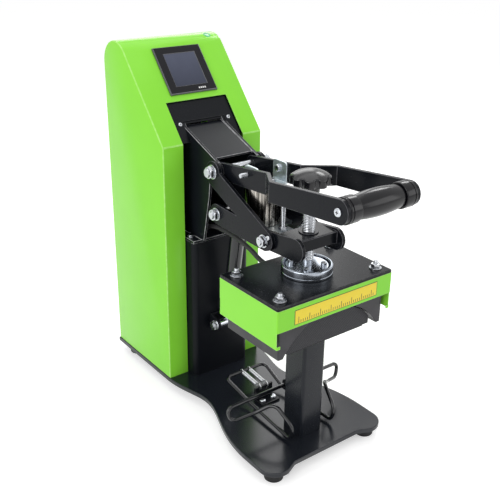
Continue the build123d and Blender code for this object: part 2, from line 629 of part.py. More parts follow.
def clamp_screw(z):
    face = POST_BACK + CLAMP_FOOT_T
    shank = endways(CLAMP_X, z, SCREW_R, POST_BACK - POST_WALL - 3, face + 1)
    return shank + endways(CLAMP_X, z, 4.4, face, face + 3)


def bracket_screw(x, y):
    top = BASE_TOP + BRACKET_T
    return upright(x, y, 4.4, top, top + 3) + upright(x, y, SCREW_R, FOOT_H + 0.5, top + 1)


screws = [shelf_screw(x, y) for x, y in SHELF_SPOTS] + [clamp_screw(z) for z in CLAMP_SCREWS]
screws += [bracket_screw(x, y) for x, y in BRACKET_SPOTS]
save("post", post)
save("former_shelf", shelf)
save("pedestal_screws", *screws)
save("cap_former", former)
save("silicone_pad", pad)

# ---------- press arm: two V-shaped plates ----------
arm_face = link(AXLE_Y, AXLE_Z - 6.5, BAR_R + 0.6, YOKE_Y - 4, YOKE_Z + 1.5, BAR_R)
arm_face += link(LIFT_Y, LIFT_Z, LIFT_PLATE_R, YOKE_Y, YOKE_Z, LIFT_PLATE_R - 1)
arm_face += disc(AXLE_Y, AXLE_Z, ARM_EYE_R)


def arm_plate(side):
    plate = plate_x(arm_face, side * ARM_IN, side * ARM_OUT)
    plate -= bore(AXLE_Y, AXLE_Z, AXLE_R)
    plate -= bore(LIFT_Y, LIFT_Z, LIFT_R)
    plate -= bore(YOKE_Y, YOKE_Z, YOKE_BOLT_R)
    return plate - bore(TIP_SCREW_Y, TIP_SCREW_Z, TIP_SCREW_R)


save("arm_plate_left", arm_plate(-1))
save("arm_plate_right", arm_plate(1))

# ---------- main axle: a bolt and its nut, each with a washer face ----------
AXLE_AF = 15.0
AXLE_WASHER_R = 9.5
AXLE_NUT_T = 8.0
AXLE_SEAT = ARM_OUT + 0.1
axle = across(AXLE_Y, AXLE_Z, AXLE_R, -AXLE_SEAT - 2, AXLE_SEAT + WASHER_T + AXLE_NUT_T + 2)
axle += across(AXLE_Y, AXLE_Z, AXLE_WASHER_R, -AXLE_SEAT - WASHER_T, -AXLE_SEAT)
axle += hex_across(AXLE_Y, AXLE_Z, AXLE_AF, -AXLE_SEAT - WASHER_T - AXLE_NUT_T, -AXLE_SEAT - WASHER_T)
axle_nut = across(AXLE_Y, AXLE_Z, AXLE_WASHER_R, AXLE_SEAT, AXLE_SEAT + WASHER_T)
axle_nut += hex_across(AXLE_Y, AXLE_Z, AXLE_AF, AXLE_SEAT + WASHER_T, AXLE_SEAT + WASHER_T + AXLE_NUT_T)
axle_nut -= bore(AXLE_Y, AXLE_Z, AXLE_R)
save("main_axle", axle, axle_nut)

# ---------- yoke and the nut that the spindle turns in ----------
YOKE_IN = ARM_IN - YOKE_T
ear = link(YOKE_Y, YOKE_Z, YOKE_TAIL_R, YOKE_TIP_Y, YOKE_TIP_Z, YOKE_TIP_R)
yoke = plate_x(ear, -ARM_IN, -YOKE_IN) + plate_x(ear, YOKE_IN, ARM_IN)
yoke += block(-YOKE_IN, YOKE_IN, YOKE_TIP_Y - 2, PLATEN_Y + 17, YOKE_TOP - YOKE_T, YOKE_TOP)
yoke += block(-YOKE_IN, YOKE_IN, YOKE_TIP_Y - 4, YOKE_TIP_Y, YOKE_TIP_Z - 4, YOKE_TOP - 0.5)
yoke -= bore(YOKE_Y, YOKE_Z, YOKE_BOLT_R) + bore(TIP_SCREW_Y, TIP_SCREW_Z, TIP_SCREW_R)
yoke -= upright(0, PLATEN_Y, YOKE_NUT_R + FIT, YOKE_TOP - 20, YOKE_TOP + 5)
YOKE_NUT_RIM = 1.4
yoke_nut = upright(0, PLATEN_Y, YOKE_NUT_R, YOKE_TOP - YOKE_T - 7, YOKE_TOP + YOKE_NUT_RIM)
yoke_nut += upright(0, PLATEN_Y, YOKE_NUT_R + 1.5, YOKE_TOP, YOKE_TOP + YOKE_NUT_RIM)
yoke_nut -= upright(0, PLATEN_Y, SPINDLE_R + FIT, YOKE_TOP - 40, YOKE_TOP + 20)
save("yoke", yoke)
save("yoke_nut", yoke_nut)

# ---------- armature plate and stop rod ----------
ARMATURE_BOTTOM = ARMATURE_TOP - ARMATURE_T
STOP_NUT_T = 4.5
armature = block(-ARM_IN, ARM_IN, ARMATURE_FRONT, ARMATURE_BACK, ARMATURE_BOTTOM, ARMATURE_TOP)
armature += block(-16, 16, STOP_Y - 7, ARMATURE_FRONT + 1, ARMATURE_BOTTOM, ARMATURE_TOP)
armature -= upright(STOP_X, STOP_Y, STOP_R + FIT, ARMATURE_BOTTOM - 1, ARMATURE_TOP + 1)
save("armature_plate", armature)
save("stop_rod", upright(STOP_X, STOP_Y, STOP_R, ARMATURE_BOTTOM - 6, STOP_TOP))


# ---------- bolts and nuts of the press arm ----------
def out_from(side, x0, x1):
    """Two x values on one side, the smaller first."""
    return min(side * x0, side * x1), max(side * x0, side * x1)


def yoke_bolt(side):
    shank = across(YOKE_Y, YOKE_Z, YOKE_BOLT_R, *out_from(side, YOKE_IN - NUT_T - 3, ARM_OUT + 1))
    return shank + hex_across(YOKE_Y, YOKE_Z, NUT_AF, *out_from(side, ARM_OUT, ARM_OUT + 7.5))


def tip_screw(side):
    shank = across(TIP_SCREW_Y, TIP_SCREW_Z, TIP_SCREW_R, *out_from(side, YOKE_IN + 0.5, ARM_OUT + 1))
    return shank + across(TIP_SCREW_Y, TIP_SCREW_Z, 3.1, *out_from(side, ARM_OUT, ARM_OUT + 2.5))


def yoke_bolt_nut(side):
    nut = hex_across(YOKE_Y, YOKE_Z, NUT_AF, *out_from(side, YOKE_IN - NUT_T, YOKE_IN))
    return nut - bore(YOKE_Y, YOKE_Z, YOKE_BOLT_R)


def stop_nut(z):
    nut = hex_upright(STOP_X, STOP_Y, 10, z, z + STOP_NUT_T)
    return nut - upright(STOP_X, STOP_Y, STOP_R + FIT, z - 1, z + STOP_NUT_T + 1)


LIFT_AF = 14.0
LIFT_HEAD_T = 9.0
lift_bolt = across(LIFT_Y, LIFT_Z, LIFT_R, -ARM_OUT - 1, ARM_OUT + LIFT_HEAD_T + 2)
lift_bolt += hex_across(LIFT_Y, LIFT_Z, LIFT_AF, -ARM_OUT - LIFT_HEAD_T, -ARM_OUT)
lift_nut = hex_across(LIFT_Y, LIFT_Z, LIFT_AF, ARM_OUT, ARM_OUT + LIFT_HEAD_T)
lift_nut -= bore(LIFT_Y, LIFT_Z, LIFT_R)
SPACER_R = 8.0
SPACER_GAP = 0.6


def lift_spacer(side):
    tube_ends = out_from(side, EYE_T / 2 + SPACER_GAP, ARM_IN)
    return across(LIFT_Y, LIFT_Z, SPACER_R, *tube_ends) - bore(LIFT_Y, LIFT_Z, LIFT_R)


save("arm_bolts", lift_bolt, *both(yoke_bolt), *both(tip_screw))
stop_nuts = [stop_nut(ARMATURE_TOP), stop_nut(ARMATURE_BOTTOM - STOP_NUT_T)]
save("arm_nuts", lift_nut, *both(yoke_bolt_nut), *stop_nuts)
save("lift_spacers", *both(lift_spacer))


# ---------- handle ----------
def handle_side():
    """Side outline: round at the axle, joggled, round again at the grip."""
    rear_part = link(AXLE_Y, AXLE_Z, HANDLE_EYE_R, JOG_BACK_Y, JOG_BACK_Z, JOG_BACK_R)
    jog = link(JOG_BACK_Y, JOG_BACK_Z, JOG_BACK_R, JOG_FRONT_Y, JOG_FRONT_Z, JOG_FRONT_R)
    return rear_part + jog + link(JOG_FRONT_Y, JOG_FRONT_Z, JOG_FRONT_R, GRIP_Y, GRIP_Z, GRIP_ARM_R)


def handle_plan():
    """Plan outline of the right plate: straight, joggled outwards, straight again."""
    a, b, t = HANDLE_REAR_OUT, HANDLE_FRONT_OUT, HANDLE_T
    back, front = AXLE_Y + HANDLE_EYE_R + 5, GRIP_Y - GRIP_ARM_R - 5
    outer = [(a, back), (a, JOG_BACK_Y), (b, JOG_FRONT_Y), (b, front)]
    inner = [(b - t, front), (b - t, JOG_FRONT_Y - 1.5), (a - t, JOG_BACK_Y - 1.5), (a - t, back)]
    return outline(*outer, *inner)


handle_right = Pos(0, 0, AXLE_Z - 50) * extrude(handle_plan(), 110)
handle_right &= plate_x(handle_side(), 0, HANDLE_FRONT_OUT + 5)
handle_right -= bore(AXLE_Y, AXLE_Z, AXLE_R)
handle_right -= bore(HANGER_BOLT_Y, HANGER_BOLT_Z, HANGER_BOLT_R)
handle_right -= bore(GRIP_Y, GRIP_Z, GRIP_SCREW_R)
save("handle_arm_right", handle_right)
save("handle_arm_left", mirror(handle_right, about=Plane.YZ))

# ---------- grip ----------
GRIP_HALF = HANDLE_FRONT_OUT - HANDLE_T
BARREL_HALF = GRIP_HALF - COLLAR_T
SCREW_REACH = 8.0
swell = ThreePointArc((-BARREL_HALF, GRIP_END_R), (0, GRIP_R), (BARREL_HALF, GRIP_END_R))
ends_and_axis = [(BARREL_HALF, GRIP_END_R), (BARREL_HALF, 0), (-BARREL_HALF, 0), (-BARREL_HALF, GRIP_END_R)]
base_line = Polyline(*ends_and_axis)
barrel = Pos(0, GRIP_Y, GRIP_Z) * revolve(make_face(swell + base_line), Axis.X)
for side in (-1, 1):
    ends = out_from(side, BARREL_HALF - SCREW_REACH - 1, BARREL_HALF + 1)
    barrel -= across(GRIP_Y, GRIP_Z, GRIP_SCREW_R + FIT, *ends)


def grip_collar(side):
    body = across(GRIP_Y, GRIP_Z, GRIP_R - 0.4, *out_from(side, BARREL_HALF, GRIP_HALF))
    body = fillet(body.edges().filter_by(GeomType.CIRCLE), 1.2)
    return body - bore(GRIP_Y, GRIP_Z, GRIP_SCREW_R)


def grip_screw(side):
    """Dome-head screw through the handle plate and collar into the barrel."""
    dome = across(GRIP_Y, GRIP_Z, 5, *out_from(side, HANDLE_FRONT_OUT, HANDLE_FRONT_OUT + 2.5))
    rims = dome.edges().filter_by(GeomType.CIRCLE).sort_by(Axis.X)
    dome = fillet(rims[-1] if side > 0 else rims[0], 1.6)
    shank_ends = out_from(side, BARREL_HALF - SCREW_REACH, HANDLE_FRONT_OUT + 1)
    return dome + across(GRIP_Y, GRIP_Z, GRIP_SCREW_R, *shank_ends)


save("grip_barrel", barrel)
save("grip_collars", *both(grip_collar))
save("grip_screws", *both(grip_screw))

# ---------- electromagnet and its hangers ----------
HANGER_X = HANDLE_REAR_OUT - HANDLE_T
HANGER_IN = HANGER_X - HANGER_T
HANGER_Y0, HANGER_Y1 = HANGER_BOLT_Y - HANGER_D * 0.6, HANGER_BOLT_Y + HANGER_D * 0.4
HANGER_FOOT_TOP = MAGNET_TOP + HANGER_T
magnet = upright(0, MAGNET_Y, MAGNET_R, ARMATURE_TOP + SKIN, MAGNET_TOP)
magnet = chamfer(magnet.edges().filter_by(GeomType.CIRCLE), 0.8)
for side in (-1, 1):
    magnet -= upright(side * MAGNET_SCREW_X, HANGER_BOLT_Y, SCREW_R + FIT, MAGNET_TOP - 9, MAGNET_TOP + 1)


def hanger(side):
    """L-shaped bracket: a leg on the handle plate and a foot on the magnet."""
    leg = block(side * HANGER_IN, side * HANGER_X, HANGER_Y0, HANGER_Y1, MAGNET_TOP, HANGER_TOP)
    leg = fillet(leg.edges().filter_by(Axis.X).group_by(Axis.Z)[-1], 5)
    body = leg + block(side * 4, side * HANGER_X, HANGER_Y0, HANGER_Y1, MAGNET_TOP, HANGER_FOOT_TOP)
    body -= upright(side * MAGNET_SCREW_X, HANGER_BOLT_Y, SCREW_R + FIT, MAGNET_TOP - 1, HANGER_FOOT_TOP + 1)
    return body - bore(HANGER_BOLT_Y, HANGER_BOLT_Z, HANGER_BOLT_R)


def hanger_bolt(side):
    """Runs from inside through leg and handle plate, and shows outside."""
    head = hex_across(HANGER_BOLT_Y, HANGER_BOLT_Z, 10, *out_from(side, HANGER_IN - 4.5, HANGER_IN))
    shank_ends = out_from(side, HANGER_IN - 1, HANDLE_REAR_OUT + 9.4)
    return head + across(HANGER_BOLT_Y, HANGER_BOLT_Z, HANGER_BOLT_R, *shank_ends)


def magnet_screw(side):
    cap = upright(side * MAGNET_SCREW_X, HANGER_BOLT_Y, 3.6, HANGER_FOOT_TOP, HANGER_FOOT_TOP + 3)
    return cap + upright(side * MAGNET_SCREW_X, HANGER_BOLT_Y, SCREW_R, MAGNET_TOP - 8, HANGER_FOOT_TOP + 1)


save("magnet_body", magnet)
save("magnet_hangers", *both(hanger))
save("hanger_bolts", *both(hanger_bolt), *both(magnet_screw))

# ---------- platen: cover plate, green skirt, insulation and heater block ----------
COVER_BOTTOM = COVER_TOP - COVER_T
WOOL_TOP = COVER_BOTTOM - SKIRT_T
STUD_SPOTS = four(STUD_X, STUD_DY, PLATEN_Y)
CUP_SCREW_R = 2.0
CUP_SCREW_PITCH_R = 20.0
CUP_ANGLES = [radians(45 + 90 * k) for k in range(4)]
CUP_SPOTS = [(CUP_SCREW_PITCH_R * cos(a), PLATEN_Y + CUP_SCREW_PITCH_R * sin(a)) for a in CUP_ANGLES]
cw, cd = COVER_W / 2, COVER_D / 2
cover = Pos(0, PLATEN_Y, COVER_TOP - COVER_T / 2) * Box(COVER_W, COVER_D, COVER_T)
cover = fillet(cover.edges().filter_by(Axis.Z), 2.5)
cover = chamfer(cover.faces().sort_by(Axis.Z)[-1].edges(), 0.8)
for x, y in STUD_SPOTS:
    cover -= upright(x, y, STUD_R + FIT, COVER_BOTTOM - 1, COVER_TOP + 1)
for x, y in CUP_SPOTS:
    cover -= upright(x, y, CUP_SCREW_R + FIT, COVER_BOTTOM - 1, COVER_TOP + 1)

front, back = PLATEN_Y - cd, PLATEN_Y + cd
skirt = block(-cw, cw, front, back, SKIRT_SIDE_Z, COVER_BOTTOM)
skirt = fillet(skirt.edges().filter_by(Axis.Z), 1.5)
skirt -= block(-cw + SKIRT_T, cw - SKIRT_T, front + SKIRT_T, back - SKIRT_T, 0, WOOL_TOP)
skirt -= block(-cw + SKIRT_TAB, cw - SKIRT_TAB, front - 5, back + 5, 0, SKIRT_FRONT_Z)
for y0, y1 in ((front - 5, front + SKIRT_T), (back - SKIRT_T, back + 5)):
    skirt -= block(-cw - 1, cw + 1, y0, y1, SKIRT_SIDE_Z + 4, SKIRT_FRONT_Z)
for x, y in STUD_SPOTS:
    skirt -= upright(x, y, STUD_R + FIT, COVER_BOTTOM - 5, COVER_BOTTOM + 1)
skirt -= endways(LEAD_X, LEAD_Z, GLAND_R - 1.5 + FIT, back - 5, back + 5)


def slab(w, d, z0, z1):
    """A box centred under the spindle."""
    return block(-w / 2, w / 2, PLATEN_Y - d / 2, PLATEN_Y + d / 2, z0, z1)


heater = slab(BLOCK_W, BLOCK_D, BLOCK_BOTTOM, BLOCK_TOP)
heater = chamfer(heater.edges().filter_by(Axis.Z), 1.5)
heater -= endways(0, ARCH_Z, ARCH_R, PLATEN_Y - BLOCK_D, PLATEN_Y + BLOCK_D)
ELEMENT_BOTTOM = BLOCK_TOP - ELEMENT_T
heater -= slab(ELEMENT_W, ELEMENT_D, ELEMENT_BOTTOM, BLOCK_TOP + 5)
element = slab(ELEMENT_W - 2 * SKIN, ELEMENT_D - 2 * SKIN, ELEMENT_BOTTOM, BLOCK_TOP)
wool = slab(BLOCK_W, BLOCK_D, BLOCK_TOP, WOOL_TOP)
STUD_DEPTH = 13.5
for x, y in STUD_SPOTS:
    heater -= upright(x, y, STUD_R + FIT, BLOCK_TOP - STUD_DEPTH - 0.5, BLOCK_TOP + 1)
    wool -= upright(x, y, STUD_R + 1, BLOCK_TOP - 1, WOOL_TOP + 1)
NUT_SEAT = COVER_TOP + WASHER_T
STUD_NUT_T = 5.0


def stud(x, y):
    return upright(x, y, STUD_R, BLOCK_TOP - STUD_DEPTH, COVER_TOP + STUD_RISE)


def stud_nut(x, y):
    """Flange nut: a hexagon on a washer face."""
    body = upright(x, y, WASHER_R, COVER_TOP, NUT_SEAT)
    body += hex_upright(x, y, 10, NUT_SEAT, NUT_SEAT + STUD_NUT_T)
    return body - upright(x, y, STUD_R + FIT, COVER_TOP - 1, NUT_SEAT + STUD_NUT_T + 1)


save("cover_plate", cover)
save("heater_skirt", skirt)
save("heater_block", heater)
save("heating_element", element)
save("insulation_slab", wool)
save("platen_studs", *[stud(x, y) for x, y in STUD_SPOTS])
save("stud_nuts", *[stud_nut(x, y) for x, y in STUD_SPOTS])

# ---------- swivel cup, retaining ring, spindle and knob ----------
CUP_TOP = COVER_TOP + CUP_H
FLANGE_Z = COVER_TOP + CUP_FLOOR
FLANGE_TOP = FLANGE_Z + SPINDLE_FLANGE_H
RING_TOP = FLANGE_TOP + RING_T
cup = upright(0, PLATEN_Y, CUP_R, COVER_TOP, CUP_TOP)
cup = fillet(cup.edges().filter_by(GeomType.CIRCLE).sort_by(Axis.Z)[-1], 1.0)
cup -= upright(0, PLATEN_Y, CUP_R - CUP_WALL, FLANGE_Z, CUP_TOP + 1)
ring = upright(0, PLATEN_Y, RING_R, FLANGE_Z, RING_TOP)
ring -= upright(0, PLATEN_Y, SPINDLE_FLANGE_R + 0.5, FLANGE_Z - 1, FLANGE_TOP + SKIN)
ring -= upright(0, PLATEN_Y, SPINDLE_NECK_R + FIT, FLANGE_Z - 1, RING_TOP + 1)
for x, y in CUP_SPOTS:
    cup -= upright(x, y, CUP_SCREW_R + FIT, COVER_TOP - 1, FLANGE_Z + 1)
    ring -= upright(x, y, CUP_SCREW_R + FIT, FLANGE_Z - 1, RING_TOP + 1)


def cup_screw(x, y):
    """Socket-head screw through ring, cup and cover plate."""
    cap = upright(x, y, 3.6, RING_TOP, RING_TOP + 4) - hex_upright(x, y, 3, RING_TOP + 1.5, RING_TOP + 5)
    return cap + upright(x, y, CUP_SCREW_R, COVER_BOTTOM + SKIN, RING_TOP + 1)


KNOB_RIM = KNOB_TOP - KNOB_H
SPINDLE_TOP = KNOB_TOP - 10
NECK_TOP = RING_TOP + 8
spindle = upright(0, PLATEN_Y, SPINDLE_R, NECK_TOP, SPINDLE_TOP)
spindle += upright(0, PLATEN_Y, SPINDLE_NECK_R, FLANGE_TOP - 1, NECK_TOP + 1)
spindle += upright(0, PLATEN_Y, SPINDLE_FLANGE_R, FLANGE_Z + FIT, FLANGE_TOP)
LOBE_R_KNOB = KNOB_R * sin(pi / KNOB_LOBES) * 0.74
knob_plan = Circle(KNOB_R * 0.85)
for k in range(KNOB_LOBES):
    turn = 2 * pi * k / KNOB_LOBES
    reach = KNOB_R - LOBE_R_KNOB
    knob_plan += Pos(reach * cos(turn), reach * sin(turn)) * Circle(LOBE_R_KNOB)
knob = Pos(0, PLATEN_Y, KNOB_RIM) * extrude(knob_plan, KNOB_H)
knob &= Pos(0, PLATEN_Y, KNOB_TOP - KNOB_DOME_R) * Sphere(KNOB_DOME_R)
knob += upright(0, PLATEN_Y, SPINDLE_R + 3.5, KNOB_RIM - KNOB_HUB_H, KNOB_RIM + 1)
knob -= upright(0, PLATEN_Y, SPINDLE_R + FIT, KNOB_RIM - KNOB_HUB_H - 1, SPINDLE_TOP)
save("swivel_cup", cup)
save("retaining_ring", ring)
save("cup_screws", *[cup_screw(x, y) for x, y in CUP_SPOTS])
save("spindle", spindle)
save("knob", knob)

# ---------- gas damper ----------
DAMPER_DY, DAMPER_DZ = LIFT_Y - PIN_Y, LIFT_Z - PIN_Z
DAMPER_LEN = sqrt(DAMPER_DY ** 2 + DAMPER_DZ ** 2)
LEAN = degrees(atan2(-DAMPER_DY, DAMPER_DZ))


def along_damper(shape):
    """Put a piece that is built upright at the lower pin onto the damper's line."""
    return Pos(0, PIN_Y, PIN_Z) * Rot(LEAN, 0, 0) * shape


FOOT_EYE_HALF = CLEVIS_IN - 0.2
NECK_R = 5.0
BORE_TOP = TUBE_HIGH - 20
tube = Pos(0, 0, (TUBE_LOW + TUBE_HIGH) / 2) * Cylinder(TUBE_R, TUBE_HIGH - TUBE_LOW)
tube = fillet(tube.edges().filter_by(GeomType.CIRCLE), 1.5)
tube += Pos(0, 0, (TUBE_HIGH + DAMPER_LEN) / 2) * Cylinder(NECK_R, DAMPER_LEN - TUBE_HIGH + 2)
tube += Pos(0, 0, DAMPER_LEN) * Rot(0, 90, 0) * Cylinder(EYE_R, EYE_T)
tube -= Pos(0, 0, DAMPER_LEN) * Rot(0, 90, 0) * Cylinder(LIFT_R + EYE_SLACK, 3 * EYE_T)
tube -= Pos(0, 0, BORE_TOP / 2) * Cylinder(ROD_R + FIT, BORE_TOP)
ROD_HEAD = BORE_TOP - 10
rod = Pos(0, 0, ROD_HEAD / 2) * Cylinder(ROD_R, ROD_HEAD)
rod += Rot(0, 90, 0) * Cylinder(PIN_R + 2.6, 2 * FOOT_EYE_HALF)
rod -= Rot(0, 90, 0) * Cylinder(PIN_R + FIT, 3 * FOOT_EYE_HALF)
print("damper length", round(DAMPER_LEN, 2), "lean", round(LEAN, 3))

clevis_face = link(PIN_Y, PIN_Z, CLEVIS_R, COLUMN_FRONT, PIN_Z, CLEVIS_FOOT)
clevis_reach = 4 * CLEVIS_R
clevis_face &= Pos(COLUMN_FRONT - clevis_reach / 2, PIN_Z) * Rectangle(clevis_reach, clevis_reach)
clevis = plate_x(clevis_face, -CLEVIS_IN - CLEVIS_T, -CLEVIS_IN)
clevis += plate_x(clevis_face, CLEVIS_IN, CLEVIS_IN + CLEVIS_T)
clevis_out = CLEVIS_IN + CLEVIS_T
clevis_low, clevis_high = PIN_Z - CLEVIS_FOOT, PIN_Z + CLEVIS_FOOT
clevis += block(-clevis_out, clevis_out, COLUMN_FRONT - 3, COLUMN_FRONT, clevis_low, clevis_high)
clevis -= bore(PIN_Y, PIN_Z, PIN_R)
damper_pin = across(PIN_Y, PIN_Z, PIN_R, -clevis_out - 1, clevis_out + 3)
damper_pin += hex_across(PIN_Y, PIN_Z, NUT_AF, -clevis_out - 7, -clevis_out)
save("damper_tube", along_damper(tube))
save("damper_rod", along_damper(rod))
save("damper_clevis", clevis)
save("damper_pin", damper_pin)

# ---------- cap wire: one closed loop that turns in a clamp behind the post ----------
WIRE_PATH = [
    (0, WIRE_BAR_Y, WIRE_BAR_Z), (34, WIRE_BAR_Y, WIRE_BAR_Z), (30, -38, 29.5), (35, -134, 25.5),
    (35, -141, 44), (42, -110, 69), (62, -95, 54), (90, -83, 45), (94.5, WIRE_Y, WIRE_Z), (0, WIRE_Y, WIRE_Z)]
WIRE_BENDS = [8, 30, 8, 14, 14, 30, 8, 7]
wire_line = FilletPolyline(*WIRE_PATH, radius=WIRE_BENDS)
wire_start = Plane(origin=WIRE_PATH[0], z_dir=(1, 0, 0))
wire = sweep(wire_start * Circle(WIRE_R), path=wire_line)
wire += mirror(wire, about=Plane.YZ)
clamp = plate_x(link(WIRE_Y, WIRE_Z, CLAMP_R, POST_BACK, WIRE_Z, CLAMP_R), CLAMP_X0, CLAMP_X1)
clamp &= block(CLAMP_X0, CLAMP_X1, POST_BACK, WIRE_Y + 20, 0, HEIGHT)
clamp_low, clamp_high = CLAMP_SCREWS[0] - 6, CLAMP_SCREWS[1] + 6
clamp += block(CLAMP_X0, CLAMP_X1, POST_BACK, POST_BACK + CLAMP_FOOT_T, clamp_low, clamp_high)
clamp -= bore(WIRE_Y, WIRE_Z, WIRE_R)
for z in CLAMP_SCREWS:
    clamp -= endways(CLAMP_X, z, SCREW_R + FIT, POST_BACK - 1, POST_BACK + CLAMP_FOOT_T + 1)
save("cap_wire", wire)
save("wire_clamp", clamp)

# ---------- springs of the cap wire and the bracket that they pull on ----------
bracket_half = BRACKET_W / 2
tongue_y = SPRING_LOW_Y - BRACKET_T
bracket = block(-bracket_half, bracket_half, SPRING_LOW_Y - 20, SPRING_LOW_Y, BASE_TOP, BASE_TOP + BRACKET_T)
bracket += block(-bracket_half, bracket_half, tongue_y, SPRING_LOW_Y, BASE_TOP, SPRING_LOW_Z + 5)
for side in (-1, 1):
    bracket -= endways(side * SPRING_X, SPRING_LOW_Z, 1.8, tongue_y - 1, SPRING_LOW_Y + 1)
for x, y in BRACKET_SPOTS:
    bracket -= upright(x, y, SCREW_R + FIT, BASE_TOP - 1, BASE_TOP + BRACKET_T + 1)


def wire_spring(side):
    """Outer shape of one extension spring, from the wire down to the bracket."""
    low_end = Vector(side * SPRING_X, SPRING_LOW_Y, SPRING_LOW_Z)
    pull = Vector(side * SPRING_X, WIRE_BAR_Y, WIRE_BAR_Z) - low_end
    low, high = SPRING_LOW_GAP, pull.length - WIRE_R - SKIN
    return Plane(origin=low_end, z_dir=pull) * Pos(0, 0, (low + high) / 2) * Cylinder(SPRING_R, high - low)


save("spring_bracket", bracket)
save("wire_springs", *both(wire_spring))

# ---------- heater lead: out of the head's foot plate, over to the back of the platen ----------
LEAD_END = back + GLAND_T
LEAD_PATH = [
    (LEAD_HOLE_X, LEAD_HOLE_Y, 206), (-18, 84, 236), (-18, 62, 252), (-14, 24, 250), (-10, -12, 241),
    (LEAD_X, -34, LEAD_Z), (LEAD_X, LEAD_END, LEAD_Z)]


def tangent_radii(points):
    """Arc radii as large as the two runs at each corner allow."""
    radii = []
    for before, at, after in zip(points, points[1:], points[2:]):
        run_in = Vector(*at) - Vector(*before)
        run_out = Vector(*after) - Vector(*at)
        half_turn = radians(run_in.get_angle(run_out)) / 2
        radii.append(0.45 * min(run_in.length, run_out.length) * cos(half_turn) / sin(half_turn))
    return radii


lead_radii = tangent_radii(LEAD_PATH)
lead_line = FilletPolyline(*LEAD_PATH, radius=lead_radii)
lead_start = Plane(origin=LEAD_PATH[0], z_dir=Vector(*LEAD_PATH[1]) - Vector(*LEAD_PATH[0]))
lead = sweep(lead_start * Circle(LEAD_R), path=lead_line)
lead_ratio = lead.volume / (lead_line.length * pi * LEAD_R ** 2)
print("lead radii", [round(r, 1) for r in lead_radii])
print("lead length", round(lead_line.length, 1), "volume over section times length", round(lead_ratio, 4))
gland = endways(LEAD_X, LEAD_Z, GLAND_R, back, LEAD_END)
gland += endways(LEAD_X, LEAD_Z, GLAND_R - 1.5, back - SKIRT_T - 2, back + 1)
gland -= endways(LEAD_X, LEAD_Z, LEAD_R - 1, back - 20, LEAD_END + 1)
save("lead_gland", gland)
save("heater_lead", lead)
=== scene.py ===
"""Looks of a magnetic cap heat press, laid out as an add-on: one operator for each group of pieces."""
from math import ceil, cos, pi, radians, sin, sqrt, tan

import bmesh
import bpy
from bpy.props import FloatProperty, FloatVectorProperty, IntProperty, PointerProperty
from mathutils import Matrix, Vector


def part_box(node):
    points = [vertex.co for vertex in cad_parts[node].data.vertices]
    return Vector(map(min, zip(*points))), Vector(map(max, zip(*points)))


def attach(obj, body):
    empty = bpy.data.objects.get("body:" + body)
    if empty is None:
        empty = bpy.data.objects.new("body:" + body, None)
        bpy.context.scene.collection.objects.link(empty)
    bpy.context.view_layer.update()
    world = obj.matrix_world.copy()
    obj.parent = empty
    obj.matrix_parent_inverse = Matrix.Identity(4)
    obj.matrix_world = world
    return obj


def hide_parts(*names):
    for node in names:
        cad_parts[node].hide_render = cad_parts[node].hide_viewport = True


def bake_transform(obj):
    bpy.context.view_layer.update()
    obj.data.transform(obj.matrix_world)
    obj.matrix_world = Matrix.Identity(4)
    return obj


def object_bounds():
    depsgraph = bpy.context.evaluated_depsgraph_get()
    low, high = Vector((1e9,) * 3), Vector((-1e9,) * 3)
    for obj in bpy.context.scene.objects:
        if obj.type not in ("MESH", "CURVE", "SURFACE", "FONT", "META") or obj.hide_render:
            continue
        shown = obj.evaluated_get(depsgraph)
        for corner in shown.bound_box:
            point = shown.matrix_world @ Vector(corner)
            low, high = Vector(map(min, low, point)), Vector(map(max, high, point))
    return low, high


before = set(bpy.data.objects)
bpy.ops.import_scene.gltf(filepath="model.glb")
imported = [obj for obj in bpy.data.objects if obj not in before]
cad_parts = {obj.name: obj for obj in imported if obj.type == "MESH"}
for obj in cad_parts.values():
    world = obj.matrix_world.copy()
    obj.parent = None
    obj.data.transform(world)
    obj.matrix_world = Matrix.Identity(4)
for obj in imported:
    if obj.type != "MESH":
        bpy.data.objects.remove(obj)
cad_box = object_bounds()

bl_info = {
    "name": "Cap heat press",
    "version": (1, 0, 0),
    "blender": (4, 5, 0),
    "location": "View3D > Sidebar > Heat Press",
    "description": "Builds the finishes and fine parts of a cap heat press around its packed model",
    "category": "Object",
}

MM = 0.001
TAU = 2 * pi
EDGE_MARK = "edge_strip"     # face attribute: 1 on the narrow faces of a rounded edge
X, Y, Z = Vector((1, 0, 0)), Vector((0, 1, 0)), Vector((0, 0, 1))
ORIGIN = Vector((0, 0, 0))


# ---------------------------------------------------------------- node graphs
class Sock:
    """A node's output; an expression on it adds the Math nodes that it needs."""

    def __init__(self, graph, socket):
        self.graph = graph
        self.socket = socket

    def maths(self, operation, *others):
        return self.graph.maths(operation, self, *others)

    def __add__(self, other):
        return self.maths("ADD", other)

    __radd__ = __add__

    def __sub__(self, other):
        return self.maths("SUBTRACT", other)

    def __rsub__(self, other):
        return self.graph.maths("SUBTRACT", other, self)

    def __mul__(self, other):
        return self.maths("MULTIPLY", other)

    __rmul__ = __mul__

    def __truediv__(self, other):
        return self.maths("DIVIDE", other)

    def __rtruediv__(self, other):
        return self.graph.maths("DIVIDE", other, self)

    def above(self, low, high):
        """0 below low, 1 above high, and smooth between them."""
        settings = {"interpolation_type": "SMOOTHSTEP"}
        return self.graph.add("ShaderNodeMapRange", settings, self, low, high, 0.0, 1.0)

    def wave(self, period):
        """A triangle wave from 0 to 1 of that period."""
        return self.maths("PINGPONG", period / 2) * (2 / period)


